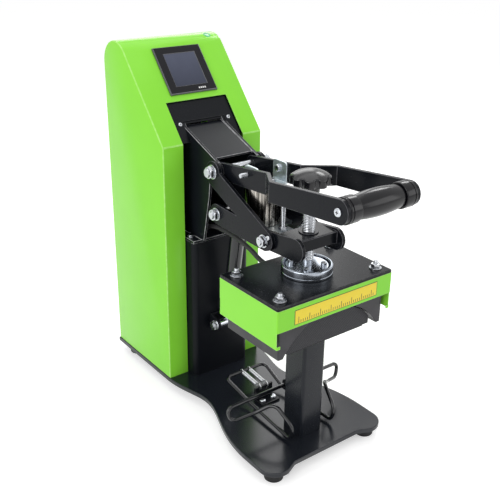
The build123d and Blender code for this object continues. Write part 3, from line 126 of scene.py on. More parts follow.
class Graph:
    """Adds nodes to a shader or geometry tree."""

    def __init__(self, tree):
        self.tree = tree

    def add(self, kind, settings, *inputs, out=0, named=None):
        """One node: its settings or a ramp's stops first, then the values or links of its sockets."""
        node = self.tree.nodes.new(kind)
        for name, value in settings.items():
            if name == "stops":
                self.set_stops(node.color_ramp.elements, value)
            else:
                setattr(node, name, value)
        for socket, value in zip(node.inputs, inputs):
            self.join(socket, value)
        for name, value in (named or {}).items():
            self.join(node.inputs[name], value)
        return Sock(self, node.outputs[out])

    def set_stops(self, elements, stops):
        while len(elements) < len(stops):
            elements.new(0.5)
        for element, (place, colour) in zip(elements, stops):
            element.position, element.color = place, (*colour, 1.0)

    def join(self, socket, value):
        if isinstance(value, Sock):
            self.tree.links.new(value.socket, socket)
        elif value is not None:
            socket.default_value = value

    def maths(self, operation, *values):
        return self.add("ShaderNodeMath", {"operation": operation}, *values)

    def combine(self, x, y, z):
        return self.add("ShaderNodeCombineXYZ", {}, x, y, z)

    def split(self, vector):
        node = self.tree.nodes.new("ShaderNodeSeparateXYZ")
        self.join(node.inputs[0], vector)
        return [Sock(self, out) for out in node.outputs]


class Shader(Graph):
    """The node tree of one material, with the textures that the finishes share."""

    def __init__(self, name):
        self.material = bpy.data.materials.new(name)
        self.material.use_nodes = True
        super().__init__(self.material.node_tree)
        self.surface = self.tree.nodes["Principled BSDF"]

    def place(self, x=1.0, y=1.0, z=1.0):
        """Object coordinates in millimetres, stretched along each axis."""
        coords = self.add("ShaderNodeTexCoord", {}, out=3)
        return self.add("ShaderNodeMapping", {}, coords, named={"Scale": (x / MM, y / MM, z / MM)})

    def noise(self, size_mm, where=None, detail=3.0, rough=0.55):
        """Noise from 0 to 1 whose blobs are about that many millimetres across."""
        named = {"Vector": where or self.place(), "Scale": 1 / size_mm, "Detail": detail, "Roughness": rough}
        return self.add("ShaderNodeTexNoise", {}, named=named)

    def normal(self):
        return self.add("ShaderNodeNewGeometry", {}, out=1)

    def edges(self, radius_mm):
        """1 on edges and corners, 0 on open faces."""
        bent = self.add("ShaderNodeBevel", {"samples": 4}, radius_mm * MM)
        same = self.add("ShaderNodeVectorMath", {"operation": "DOT_PRODUCT"}, bent, self.normal(), out=1)
        return (1 - same).above(0.02, 0.25)

    def strips(self):
        """1 on the narrow faces of rounded edges."""
        return self.add("ShaderNodeAttribute", {"attribute_name": EDGE_MARK}, out=2)

    def mix(self, share, one, other):
        """One colour where the share is 0, the other where it is 1."""
        node = self.tree.nodes.new("ShaderNodeMix")
        node.data_type = "RGBA"
        self.join(node.inputs[0], share)
        for socket, value in ((node.inputs[6], one), (node.inputs[7], other)):
            self.join(socket, (*value, 1.0) if isinstance(value, tuple) else value)
        return Sock(self, node.outputs[2])

    def bump(self, height, depth_mm, strength=1.0):
        named = {"Strength": strength, "Distance": depth_mm * MM, "Height": height}
        return self.add("ShaderNodeBump", {}, named=named)

    def set(self, **values):
        """Sets or links sockets of the surface; an underscore stands for a space."""
        for name, value in values.items():
            self.join(self.surface.inputs[name.replace("_", " ")], value)
        return self


# ---------------------------------------------------------------- paint
def painted(name, colour, roughness, grain_mm, grain_depth, specular,
            coat=0.0, wear=0.25, edge=None, cloud=0.10):
    """Powder coat or enamel: orange peel or grain, faint tone changes, and lighter edges that are partly worn
    thin paint and partly a painted highlight along folds and rims.
    """
    s = Shader(name)
    patches = s.noise(55.0, detail=2.0)
    grain = s.noise(grain_mm, detail=2.0)
    specks = s.noise(2.2).above(0.62, 0.72)
    # edge mask: partly worn paint, partly painted highlight; thin and light below carry both, wear sets their
    # strength and edge their lighter colour
    worn_edge_and_highlight_mask = s.edges(0.7) * 0.4 + s.strips() * 0.6
    thin = worn_edge_and_highlight_mask * (0.55 + 0.45 * s.noise(6.0).above(0.42, 0.6)) * wear
    light = edge or tuple(0.12 + c for c in colour)
    dark = tuple(c * (1 - cloud) for c in colour)
    tone = s.mix(patches.above(0.3, 0.7), dark, colour)
    rough = roughness + (patches - 0.5) * cloud + specks * 0.05 * (1 - coat) + thin * 0.1
    s.set(Base_Color=s.mix(thin, tone, light), Roughness=rough, Normal=s.bump(grain, grain_depth))
    s.set(Specular_IOR_Level=specular, Coat_Weight=coat, Coat_Roughness=0.06)
    return s.material


def green_enamel():
    enamel = tuple(bpy.context.scene.press_colours.enamel)
    # fold: a pale green painted highlight along the housing's folds and edges, laid on strongly by wear=0.9
    fold = (0.60, 0.96, 0.34)
    return painted("green_enamel", enamel, 0.20, 3.2, 0.006, 0.22, wear=0.9, edge=fold, cloud=0.025)


def black_paint(name, share, *values, **more):
    """The press's black, lightened by a share; a share above 1 is a lighter copy of the same black, painted
    light for parts that look brighter. The rest is as in painted().
    """
    black = bpy.context.scene.press_colours.black
    return painted(name, tuple(c * share for c in black), *values, **more)


def textured_black():
    return black_paint("textured_black", 1.0, 0.36, 0.7, 0.05, 0.12)


def arm_black():
    # edge and wear paint a grey highlight along the rounded edges of the arms, the yoke and the handle plates
    return black_paint("arm_black", 1.0, 0.24, 1.4, 0.010, 0.13, wear=0.7, edge=(0.22, 0.22, 0.24))


def head_black():
    # 1.3 is a lighter copy of the same black, painted light; edge and wear paint a near-white highlight along
    # the rounded edges, such as the channel's front lip
    return black_paint("head_black", 1.3, 0.32, 1.2, 0.015, 0.2, wear=0.9, edge=(0.80, 0.80, 0.83))


def post_black():
    # 1.9: a lighter copy of the same black, painted light for the post, which catches more light than the
    #      column
    return black_paint("post_black", 1.9, 0.24, 1.2, 0.012, 0.25, wear=0.3)


def wire_black():
    return black_paint("wire_black", 1.0, 0.14, 3.0, 0.003, 0.5, coat=0.2)


def plate_black():
    return black_paint("plate_black", 1.0, 0.26, 1.0, 0.012, 0.16, wear=0.5)


def base_black():
    # 2.2: a lighter copy of the same black, painted light for the base plate, which looks brighter under the
    #      lamps
    return black_paint("base_black", 2.2, 0.20, 1.8, 0.008, 0.40)


def damper_black():
    return black_paint("damper_black", 1.0, 0.14, 4.0, 0.004, 0.45, coat=0.3)


# ---------------------------------------------------------------- metal
def plated(name, colour, roughness, streak=(1.0, 1.0, 1.0), streak_share=0.3):
    """Plated or bright metal: fine streaks along one direction, faint clouding, small dark specks of grime.
    """
    s = Shader(name)
    clouds = s.noise(7.0)
    streaks = s.noise(0.5, s.place(*streak), detail=4.0, rough=0.6)
    grime = s.noise(1.6, detail=4.0).above(0.60, 0.78) * 0.15
    tone = s.mix(clouds.above(0.25, 0.75), tuple(c * 0.90 for c in colour), colour)
    tone = s.mix(grime, tone, tuple(c * 0.6 for c in colour))
    rough = roughness + (streaks - 0.5) * streak_share * roughness * 2 + grime * 0.2
    s.set(Base_Color=tone, Metallic=1.0, Roughness=rough, Normal=s.bump(streaks, 0.002, 0.5))
    return s.material


def zinc():
    return plated("zinc_plate", (0.56, 0.58, 0.61), 0.22)


def chrome():
    return plated("chrome_plate", (0.60, 0.63, 0.67), 0.10, streak_share=0.4)


def cup_steel():
    return plated("cup_steel", (0.44, 0.48, 0.54), 0.17, streak=(1.0, 1.0, 4.0))


def bright_steel():
    return plated("bright_steel", (0.60, 0.60, 0.61), 0.22, streak=(0.4, 0.4, 3.0), streak_share=0.5)


def spring_steel():
    return plated("spring_steel", (0.72, 0.73, 0.75), 0.28)


def black_oxide():
    return plated("black_oxide", (0.07, 0.07, 0.075), 0.32)


def zinc_sheet():
    """Blue-white passivated sheet, blotchier than the bolts."""
    s = Shader("zinc_sheet")
    clouds = s.noise(5.0, detail=5.0)
    tint = s.mix(clouds.above(0.3, 0.75), (0.62, 0.69, 0.73), (0.72, 0.77, 0.80))
    s.set(Base_Color=tint, Metallic=1.0, Roughness=0.38 + (clouds - 0.5) * 0.12)
    s.set(Normal=s.bump(s.noise(0.6), 0.01, 0.4))
    return s.material


def nickel():
    """Turned and polished pot of the magnet: a painted reflection of dark surroundings with bright streaks,
    as light and dark stripes that run down its side; the face on top keeps one even tone without it.
    """
    s = Shader("turned_nickel")
    mid = middle(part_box("magnet_body"))
    x, y, z = s.split(s.place())
    turn = (y - mid.y / MM).maths("ARCTAN2", x - mid.x / MM)
    # painted reflection: dark and bright stripes round the pot, standing in for the surroundings that it
    # would mirror
    painted_reflection_stripes = s.noise(0.16, s.combine(turn, z * 0.001, 0.0), detail=4.0, rough=0.7)
    fine = s.noise(0.4, s.place(1.0, 1.0, 0.05))
    tone = s.mix(painted_reflection_stripes.above(0.40, 0.62), (0.075, 0.070, 0.062), (0.56, 0.53, 0.48))
    face_up = s.split(s.normal())[2].above(0.6, 0.8)
    tone = s.mix(face_up, tone, (0.52, 0.50, 0.47))
    s.set(Base_Color=tone, Metallic=1.0, Roughness=0.13 + fine * 0.12, Normal=s.bump(fine, 0.002))
    return s.material


def cast_alloy():
    """Sand-cast face: coarse grain over broad tone changes."""
    s = Shader("cast_alloy")
    grain = s.noise(0.9, detail=5.0)
    tone = s.mix(s.noise(14.0).above(0.3, 0.7), (0.36, 0.36, 0.37), (0.52, 0.52, 0.53))
    s.set(Base_Color=tone, Metallic=1.0, Roughness=0.45 + (grain - 0.5) * 0.3, Normal=s.bump(grain, 0.12))
    return s.material


def heater_coat():
    """Dark non-stick coat on milled aluminium, rubbed brighter on its corners."""
    s = Shader("heater_coat")
    grain = s.noise(0.5, detail=3.0)
    mill = s.noise(0.8, s.place(0.06, 1.0, 1.0))
    rub = s.edges(0.8) * s.noise(5.0).above(0.35, 0.6) * 0.5
    tone = s.mix(s.noise(30.0).above(0.3, 0.7), (0.034, 0.033, 0.037), (0.050, 0.049, 0.055))
    s.set(Base_Color=s.mix(rub, tone, (0.26, 0.26, 0.27)), Metallic=0.1, Specular_IOR_Level=0.3)
    s.set(Roughness=0.38 + (mill - 0.5) * 0.16, Normal=s.bump(grain * 0.6 + mill * 0.4, 0.03))
    return s.material


def heat_tinted_steel():
    """Stainless sheath, straw to blue where it has been hot."""
    s = Shader("heat_tinted_steel")
    stops = [(0.25, (0.50, 0.47, 0.42)), (0.5, (0.45, 0.34, 0.18)), (0.75, (0.22, 0.24, 0.38))]
    tone = s.add("ShaderNodeValToRGB", {"stops": stops}, s.noise(22.0, detail=3.0))
    s.set(Base_Color=tone, Metallic=1.0, Roughness=0.28 + s.noise(1.0) * 0.1)
    return s.material


# ---------------------------------------------------------------- rubber, plastic, print and cloth
def silicone():
    """Knit-backed silicone sheet: rows of small raised dots, dull and dark."""
    s = Shader("silicone_rubber")
    turns_per_mm = TAU / 1.7
    x, y, z = s.split(s.place())
    rows = (x + y * 0.5) * turns_per_mm
    cross = (y * 0.9 - x * 0.28 + z * 0.5) * turns_per_mm
    dots = rows.maths("SINE") * cross.maths("SINE")
    speck = s.noise(0.6, detail=4.0)
    tone = s.mix(dots.above(-0.3, 0.8), (0.020, 0.020, 0.023), (0.052, 0.052, 0.058))
    tone = s.mix(speck.above(0.55, 0.75) * 0.5, tone, (0.10, 0.10, 0.105))
    s.set(Base_Color=tone, Roughness=0.62 + (speck - 0.5) * 0.2, Specular_IOR_Level=0.3)
    s.set(Normal=s.bump(dots * 0.35 + speck, 0.28))
    return s.material


def rubber():
    s = Shader("foot_rubber")
    grain = s.noise(0.8, detail=4.0)
    dust = s.noise(9.0).above(0.5, 0.8) * 0.25
    s.set(Base_Color=s.mix(dust, (0.016, 0.016, 0.017), (0.05, 0.05, 0.05)), Specular_IOR_Level=0.25)
    s.set(Roughness=0.62 + (grain - 0.5) * 0.2, Normal=s.bump(grain, 0.06))
    return s.material


def gloss_plastic(name, colour, roughness, grain_depth, specular=0.5, edge=0.0):
    """Moulded plastic: faint flow marks and fine grain, and a painted highlight on the narrow strips of its
    rounded edges.
    """
    s = Shader(name)
    flow = s.noise(18.0, s.place(1.0, 0.5, 0.5))
    grain = s.noise(0.5, detail=2.0)
    tone = s.mix(flow.above(0.3, 0.7), tuple(c * 0.85 for c in colour), colour)
    # painted highlight on the rounded-edge strips; edge sets how strong it is
    tone = s.mix(s.strips() * edge, tone, (0.62, 0.63, 0.66))
    s.set(Base_Color=tone, Roughness=roughness + (flow - 0.5) * 0.06, Specular_IOR_Level=specular)
    s.set(Normal=s.bump(grain, grain_depth))
    return s.material


def grip_plastic():
    return gloss_plastic("grip_plastic", (0.004, 0.004, 0.006), 0.18, 0.001, specular=0.32)


# edge=0.04 here and edge=0.25 on the bezel: strength of the painted edge highlight
def knob_plastic():
    return gloss_plastic("knob_plastic", (0.007, 0.007, 0.009), 0.20, 0.006, specular=0.45, edge=0.04)


def bezel_plastic():
    return gloss_plastic("bezel_plastic", (0.006, 0.006, 0.009), 0.14, 0.003, specular=0.25, edge=0.25)


def inlet_plastic():
    return gloss_plastic("inlet_plastic", (0.02, 0.02, 0.021), 0.42, 0.02)


def rocker_plastic():
    return gloss_plastic("rocker_plastic", (0.02, 0.02, 0.021), 0.25, 0.004)


def display_glass():
    """A display that is off: blue-grey, with a painted reflection that makes it lighter towards its upper
    edge, and faint smears.
    """
    s = Shader("display_glass")
    lo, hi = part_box("touch_screen")
    # rise: 0 at the display's foot and 1 at its top; it drives the painted reflection
    rise = (s.split(s.place())[2] - lo.z / MM) * (MM / (hi.z - lo.z))
    smear = s.noise(16.0, s.place(1.0, 0.4, 0.4), detail=4.0)
    tone = s.mix(rise + (smear - 0.5) * 0.4, (0.040, 0.046, 0.074), (0.078, 0.088, 0.132))
    s.set(Base_Color=tone, Roughness=0.12 + (smear - 0.5) * 0.08, Specular_IOR_Level=0.25)
    return s.material


def mottled(name, size_mm, one, other, roughness, rise, detail=3.0):
    """Two near tones in soft blobs; the roughness rises with the second tone."""
    s = Shader(name)
    blobs = s.noise(size_mm, detail=detail)
    rough = roughness + blobs * rise if rise else roughness
    s.set(Base_Color=s.mix(blobs, one, other), Roughness=rough)
    return s.material


def lamp_lens():
    return mottled("lamp_lens", 1.2, (0.40, 0.78, 0.50), (0.62, 0.90, 0.66), 0.25, 0.0)


def lamp_ring():
    return mottled("lamp_ring", 1.5, (0.02, 0.36, 0.30), (0.05, 0.55, 0.46), 0.3, 0.1)


def label_paper():
    return mottled("label_paper", 0.8, (0.68, 0.67, 0.68), (0.80, 0.79, 0.80), 0.55, 0.1, detail=5.0)


def braided_sleeve():
    """Black glass-fibre braid: two sets of strands that cross along the lead."""
    s = Shader("braided_sleeve")
    strands, lay_mm = 12, 3.2
    u, v, _ = s.split(s.add("ShaderNodeTexCoord", {}, out=2))
    left, right = (u * strands + v / lay_mm).wave(1.0), (u * strands - v / lay_mm).wave(1.0)
    weave = left.maths("MAXIMUM", right)
    tone = s.mix(weave.above(0.3, 0.95), (0.006, 0.006, 0.006), (0.035, 0.035, 0.037))
    s.set(Base_Color=tone, Roughness=0.5 + (1 - weave) * 0.3, Normal=s.bump(weave, 0.25))
    return s.material


def insulation():
    s = Shader("ceramic_board")
    fibres = s.noise(1.4, s.place(0.3, 1.0, 2.5), detail=5.0)
    s.set(Base_Color=s.mix(fibres, (0.55, 0.50, 0.43), (0.82, 0.79, 0.72)), Roughness=0.9)
    s.set(Normal=s.bump(fibres, 0.5))
    return s.material


def print_ink():
    """White printed or inset marks, slightly broken."""
    s = Shader("white_print")
    worn = s.noise(0.5, detail=4.0).above(0.35, 0.5)
    s.set(Base_Color=s.mix(worn, (0.45, 0.45, 0.45), (0.80, 0.80, 0.80)), Roughness=0.5)
    return s.material


def strip_yellow():
    """Printed film: even colour, slight gloss, faint scuffs."""
    s = Shader("strip_yellow")
    scuff = s.noise(1.1, s.place(0.3, 1.0, 1.0), detail=4.0).above(0.62, 0.7) * 0.3
    tone = s.mix(s.noise(25.0), (0.86, 0.66, 0.015), (0.93, 0.74, 0.03))
    s.set(Base_Color=s.mix(scuff, tone, (0.95, 0.86, 0.35)), Roughness=0.3 + scuff * 0.4)
    return s.material


def strip_black():
    s = Shader("strip_black")
    wear = s.noise(0.7, detail=4.0).above(0.6, 0.75) * 0.25
    s.set(Base_Color=s.mix(wear, (0.012, 0.012, 0.012), (0.12, 0.10, 0.03)), Roughness=0.35 + wear * 0.3)
    return s.material


made_finishes = {}


def finish(make):
    """The material that a function makes, made once."""
    if make not in made_finishes:
        made_finishes[make] = make()
    return made_finishes[make]


# ---------------------------------------------------------------- mesh tools
def new_item(name, data):
    """A new object of that data, in the scene."""
    item = bpy.data.objects.new(name, data)
    bpy.context.scene.collection.objects.link(item)
    return item


def piece(name, mesh, make, body, slot, *nodes):
    """A visible piece that moves with a body and takes the place of CAD nodes."""
    mesh.materials.clear()
    mesh.materials.append(finish(make))
    item = new_item(name, mesh)
    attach(item, body)
    if nodes:
        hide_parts(*nodes)
    return item


def plain_mesh(item):
    """The evaluated shape of an object as a plain mesh; the object is removed."""
    graph = bpy.context.evaluated_depsgraph_get()
    mesh = bpy.data.meshes.new_from_object(item.evaluated_get(graph), depsgraph=graph)
    bpy.data.objects.remove(item)
    return mesh


def smooth(mesh, limit=35.0):
    """Smooth shading that stays crisp at edges sharper than the limit, in degrees."""
    mesh.polygons.foreach_set("use_smooth", [True] * len(mesh.polygons))
    mesh.set_sharp_from_angle(angle=radians(limit))
    return mesh


def to_mesh(name, bm, limit=35.0):
    mesh = bpy.data.meshes.new(name)
    bmesh.ops.recalc_face_normals(bm, faces=bm.faces)
    bm.to_mesh(mesh)
    bm.free()
    return smooth(mesh, limit)


def merged(node):
    """A copy of a CAD node's mesh with its loose triangles joined and flat faces made whole."""
    weld, flat = 0.002 * MM, radians(0.4)
    bm = bmesh.new()
    bm.from_mesh(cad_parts[node].data)
    bmesh.ops.remove_doubles(bm, verts=bm.verts, dist=weld)
    bmesh.ops.dissolve_limit(bm, angle_limit=flat, verts=bm.verts, edges=bm.edges)
    return bm


def solids(node):
    """Lowest and highest corner of each separate solid in a node, from -X to +X."""
    bm = merged(node)
    boxes, seen = [], set()
    for start in bm.verts:
        if start in seen:
            continue
        seen.add(start)
        group, front = [start], [start]
        while front:
            vert = front.pop()
            fresh = [v for v in (e.other_vert(vert) for e in vert.link_edges) if v not in seen]
            seen.update(fresh)
            group += fresh
            front += fresh
        lo = Vector([min(v.co[i] for v in group) for i in range(3)])
        hi = Vector([max(v.co[i] for v in group) for i in range(3)])
        boxes.append((lo, hi))
    bm.free()
    return sorted(boxes, key=lambda box: [round(place, 5) for place in box[0]])


def middle(box):
    return (box[0] + box[1]) / 2


def at(point, **places):
    """A point with some of its coordinates, named x, y or z, replaced."""
    return Vector([places.get(name, place) for name, place in zip("xyz", point)])


def box_of(node):
    """Lowest corner, highest corner and middle of a CAD node."""
    lo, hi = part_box(node)
    return lo, hi, (lo + hi) / 2


def rounded(name, bm, radius_mm, steps=2, limit=30.0):
    """Rounds every edge sharper than the limit; the faces beside it keep their own shading."""
    mesh = bpy.data.meshes.new(name)
    bm.to_mesh(mesh)
    bm.free()
    smooth(mesh, 180.0)
    for _ in range(2):
        mesh.materials.append(None)
    item = new_item(name, mesh)
    bevel = item.modifiers.new("edge", "BEVEL")
    bevel.width = radius_mm * MM
    bevel.segments = steps
    bevel.limit_method = "ANGLE"
    bevel.angle_limit = radians(limit)
    bevel.use_clamp_overlap = False
    bevel.material = 1
    return keep_flats(plain_mesh(item))


def keep_flats(mesh):
    """Parts the new strips, which have the second material, from the faces beside them, and marks them."""
    crisp = radians(32)
    bm = bmesh.new()
    bm.from_mesh(mesh)
    mark = bm.faces.layers.float.get(EDGE_MARK) or bm.faces.layers.float.new(EDGE_MARK)
    for edge in bm.edges:
        kinds = {face.material_index for face in edge.link_faces}
        edge.smooth = len(kinds) == 1 and edge.calc_face_angle(0.0) < crisp
    for face in bm.faces:
        face[mark] = 1.0 if face.material_index == 1 else face[mark]
        face.material_index = 0
    bm.to_mesh(mesh)
    bm.free()
    return mesh


def dress(node, make, body, slot, radius_mm=0.5, steps=2):
    """A CAD node's own shape with its edges rounded."""
    return piece(f"{node}_finished", rounded(node, merged(node), radius_mm, steps), make, body, slot, node)


def facing(axis):
    """The turn that takes Z to an axis."""
    return axis.to_track_quat("Z", "Y")


def put(mesh, place, axis):
    """Moves a mesh that was made along Z at the origin to a place, along an axis."""
    mesh.transform(Matrix.Translation(place) @ facing(axis).to_matrix().to_4x4())
    return mesh


def joined(name, *meshes):
    """Several meshes as one."""
    bm = bmesh.new()
    for mesh in meshes:
        bm.from_mesh(mesh)
    whole = bpy.data.meshes.new(name)
    bm.to_mesh(whole)
    bm.free()
    return whole


def add_block(bm, centre, size, turn=None):
    """A box of that size about its centre, turned if a turn is given."""
    place = Matrix.Translation(centre) @ (turn or Matrix()).to_4x4()
    bmesh.ops.create_cube(bm, size=1.0, matrix=place @ Matrix.Diagonal((*size, 1)))


def turned(profile, origin, axis=Z, segments=64, bm=None):
    """Revolves (radius, height) points, in millimetres, about an axis through the origin."""
    bm = bm or bmesh.new()
    turn = facing(axis).to_matrix()
    rings = []
    for radius, height in profile:
        ring = []
        for k in range(1 if radius < 1e-6 else segments):
            angle = TAU * k / segments
            local = Vector((radius * cos(angle), radius * sin(angle), height)) * MM
            ring.append(bm.verts.new(origin + turn @ local))
        rings.append(ring)
    for low, high in zip(rings, rings[1:]):
        skin(bm, low, high)
    return bm


def skin(bm, low, high):
    """Faces between two closed rings, where a ring of one vertex is a pole."""
    for k in range(max(len(low), len(high))):
        a, b = low[k % len(low)], low[(k + 1) % len(low)]
        c, d = high[(k + 1) % len(high)], high[k % len(high)]
        corners = [v for i, v in enumerate((a, b, c, d)) if v not in (a, b, c, d)[:i]]
        if len(corners) > 2:
            bm.faces.new(corners)


def arc(centre_r, centre_h, radius, start, end, steps=6):
    """Points of a round edge in a turned profile; angles in degrees from the outward direction."""
    turns = [radians(start + (end - start) * k / steps) for k in range(steps + 1)]
    return [(centre_r + radius * cos(t), centre_h + radius * sin(t)) for t in turns]


def tube(name, points, radius_mm, sides=20):
    """A round tube along points, with closed ends and a UV map: u round it, v along it in millimetres."""
    bm = bmesh.new()
    layer = bm.loops.layers.uv.new("UVMap")
    runs = [(b - a).normalized() for a, b in zip(points, points[1:])]
    heads = [runs[0]] + [(a + b).normalized() for a, b in zip(runs, runs[1:])] + [runs[-1]]
    across = heads[0].orthogonal().normalized()
    rings, along = [], [0.0]
    for a, b in zip(points, points[1:]):
        along.append(along[-1] + (b - a).length / MM)
    for point, head in zip(points, heads):
        across = (across - head * across.dot(head)).normalized()
        other = head.cross(across)
        spokes = [across * cos(TAU * k / sides) + other * sin(TAU * k / sides) for k in range(sides)]
        rings.append([bm.verts.new(point + spoke * radius_mm * MM) for spoke in spokes])
    for i, (low, high) in enumerate(zip(rings, rings[1:])):
        for k in range(sides):
            n = (k + 1) % sides
            face = bm.faces.new((low[k], low[n], high[n], high[k]))
            places = ((k, i), (k + 1, i), (k + 1, i + 1), (k, i + 1))
            for loop, (u, v) in zip(face.loops, places):
                loop[layer].uv = (u / sides, along[v])
    bm.faces.new(reversed(rings[0]))
    bm.faces.new(rings[-1])
    return to_mesh(name, bm)


# ---------------------------------------------------------------- geometry node trees
SOCKET_KINDS = {float: "NodeSocketFloat", int: "NodeSocketInt"}


def new_tree(name, **inputs):
    """A geometry tree with a material and the given inputs; an underscore stands for a space."""
    tree = bpy.data.node_groups.new(name, "GeometryNodeTree")
    kinds = [("Geometry", "NodeSocketGeometry", None), ("Material", "NodeSocketMaterial", None)]
    kinds += [(label.replace("_", " "), SOCKET_KINDS.get(type(value), value), value)
              for label, value in inputs.items()]
    for label, kind, value in kinds:
        socket = tree.interface.new_socket(label, in_out="INPUT", socket_type=kind)
        if type(value) in SOCKET_KINDS:
            socket.default_value = value
    tree.interface.new_socket("Geometry", in_out="OUTPUT", socket_type="NodeSocketGeometry")
    graph = Graph(tree)
    entry = tree.nodes.new("NodeGroupInput")
    graph.given = {out.name: Sock(graph, out) for out in entry.outputs if out.name}
    return graph


def end_tree(graph, geometry):
    """Realize Instances and Set Material, then the tree's output."""
    real = graph.add("GeometryNodeRealizeInstances", {}, geometry)
    coated = graph.add("GeometryNodeSetMaterial", {}, real, named={"Material": graph.given["Material"]})
    output = graph.tree.nodes.new("NodeGroupOutput")
    graph.join(output.inputs[0], coated)
    return graph.tree


def grow(name, make_tree, values, points=None):
    """Runs a tree on a mesh of points and gives the result as a plain mesh."""
    tree = tree_of(make_tree)
    mesh = bpy.data.meshes.new(name)
    if points:
        mesh.from_pydata([p for p, _ in points], [], [])
        turn = mesh.attributes.new("turn", "FLOAT_VECTOR", "POINT")
        for index, (_, axis) in enumerate(points):
            turn.data[index].vector = facing(axis).to_euler()
    item = new_item(name, mesh)
    modifier = item.modifiers.new(name, "NODES")
    modifier.node_group = tree
    for socket in tree.interface.items_tree:
        if socket.in_out == "INPUT" and socket.name in values:
            modifier[socket.identifier] = values[socket.name]
    return plain_mesh(item)


trees = {}


def tree_of(make):
    if make not in trees:
        trees[make] = make()
    return trees[make]


def scatter_tree():
    """Sets a copy of the fastener on each point, turned by the point's own turn."""
    g = new_tree("set_fasteners", Fastener="NodeSocketObject")
    copy = g.add("GeometryNodeObjectInfo", {}, g.given["Fastener"], out=4)
    turn = g.add("GeometryNodeInputNamedAttribute", {"data_type": "FLOAT_VECTOR"}, "turn")
    named = {"Instance": copy, "Rotation": turn}
    return end_tree(g, g.add("GeometryNodeInstanceOnPoints", {}, g.given["Geometry"], named=named))


def thread_tree():
    """A threaded rod along Z from its foot: a tube whose skin follows a helix, tapered at its free end."""
    g = new_tree("cut_thread", Radius=4.0, Pitch=1.25, Length=20.0, Steps=60)
    radius, pitch, length = (g.given[name] for name in ("Radius", "Pitch", "Length"))
    sides, depth_share, taper_share = 28, 0.30, 1.2
    rod = g.add("GeometryNodeMeshCylinder", {"fill_type": "NGON"}, named={
        "Vertices": sides, "Side Segments": g.given["Steps"], "Radius": radius * MM, "Depth": length * MM})
    x, y, z = g.split(g.add("GeometryNodeInputPosition", {}))
    up = z / MM + length * 0.5
    turns = up / pitch - y.maths("ARCTAN2", x) * (1 / TAU)
    groove = turns.maths("PINGPONG", 0.5) * 2
    taper = 1 - ((length - up) / pitch).above(0.0, 1.0)
    depth = pitch * depth_share
    cut = (groove * depth).maths("MAXIMUM", taper * depth * taper_share)
    keep = 1 - cut / radius
    place = g.combine(x * keep, y * keep, z + length * (0.5 * MM))
    rod = g.add("GeometryNodeSetPosition", {}, rod, named={"Position": place})
    return end_tree(g, g.add("GeometryNodeSetShadeSmooth", {}, rod))


def spring_tree():
    """A close-wound extension spring along Z from its foot, without its hooks."""
    g = new_tree("wind_spring", Coil_Radius=2.5, Wire_Radius=0.5, Length=20.0, Turns=20.0)
    coil_r, wire_r = g.given["Coil Radius"] * MM, g.given["Wire Radius"] * MM
    coil = g.add("GeometryNodeCurveSpiral", {}, named={
        "Resolution": 18, "Rotations": g.given["Turns"], "Start Radius": coil_r, "End Radius": coil_r,
        "Height": g.given["Length"] * MM})
    section = g.add("GeometryNodeCurvePrimitiveCircle", {}, named={"Resolution": 8, "Radius": wire_r})
    wound = g.add("GeometryNodeCurveToMesh", {}, coil, named={"Profile Curve": section, "Fill Caps": True})
    return end_tree(g, g.add("GeometryNodeSetShadeSmooth", {}, wound))


def ticks_tree():
    """A row of short bars along X, every fifth one taller, that stands on Z."""
    g = new_tree("rule_ticks", Count=41, Pitch=2.5, Bar_Width=0.5, Bar_Height=3.0, Tall=2.0)
    width, height, thick = g.given["Bar Width"] * MM, g.given["Bar Height"], 0.12 * MM
    step = g.combine(g.given["Pitch"] * MM, 0.0, 0.0)
    row = g.add("GeometryNodeMeshLine", {}, named={"Count": g.given["Count"], "Offset": step})
    bar = g.add("GeometryNodeMeshCube", {}, g.combine(width, thick, height * MM))
    lift = g.combine(0.0, 0.0, height * (0.5 * MM))
    bar = g.add("GeometryNodeTransform", {}, bar, named={"Translation": lift})
    left_over = g.add("GeometryNodeInputIndex", {}).maths("MODULO", 5.0)
    tall = 1 + (1 - left_over.above(0.2, 0.8)) * (g.given["Tall"] - 1)
    named = {"Instance": bar, "Scale": g.combine(1.0, 1.0, tall)}
    return end_tree(g, g.add("GeometryNodeInstanceOnPoints", {}, row, named=named))


# ---------------------------------------------------------------- fasteners
# Each is made along Z in millimetres, with its seat at the origin.
CRISP = 28.0      # degrees: sharper edges of nuts and bolt heads stay crisp


def hexagon(flats, height, origin, bm, bore=0.0, both_ends=False):
    """A hexagon along Z whose corners are turned away at the top, and at the foot if both ends are."""
    side, count = flats / 2, 24
    angles = [TAU * k / count for k in range(count)]
    reach = hexagon_reach(side, angles)
    rim = side * 0.96
    slope = tan(radians(30))

    def ring(radii, heights):
        local = [Vector((r * cos(a), r * sin(a), h)) * MM for r, a, h in zip(radii, angles, heights)]
        return [bm.verts.new(origin + p) for p in local]

    def level(radius, height):
        return ring([radius] * count, [height] * count)

    fall = [(r - rim) * slope for r in reach]
    rings = [level(bore, 0.0) if bore else [bm.verts.new(origin)], level(rim, 0.0)]
    rings.append(ring(reach, fall if both_ends else [0.02] * count))
    rings.append(ring(reach, [height - f for f in fall]))
    rings.append(level(rim, height))
    rings += [level(bore, height), rings[0]] if bore else [[bm.verts.new(origin + Z * height * MM)]]
    for low, high in zip(rings, rings[1:]):
        skin(bm, low, high)


def hexagon_reach(side, angles):
    """How far a hexagon's outline is from its middle in each direction."""
    return [side / cos((a + pi / 6) % (pi / 3) - pi / 6) for a in angles]


def washer(inner, outer, thickness, origin, bm):
    edge = min(0.3, thickness / 4)
    profile = [(inner, 0), (outer - edge, 0), (outer, edge), (outer, thickness - edge),
               (outer - edge, thickness), (inner, thickness), (inner, 0)]
    turned(profile, origin, Z, 40, bm)


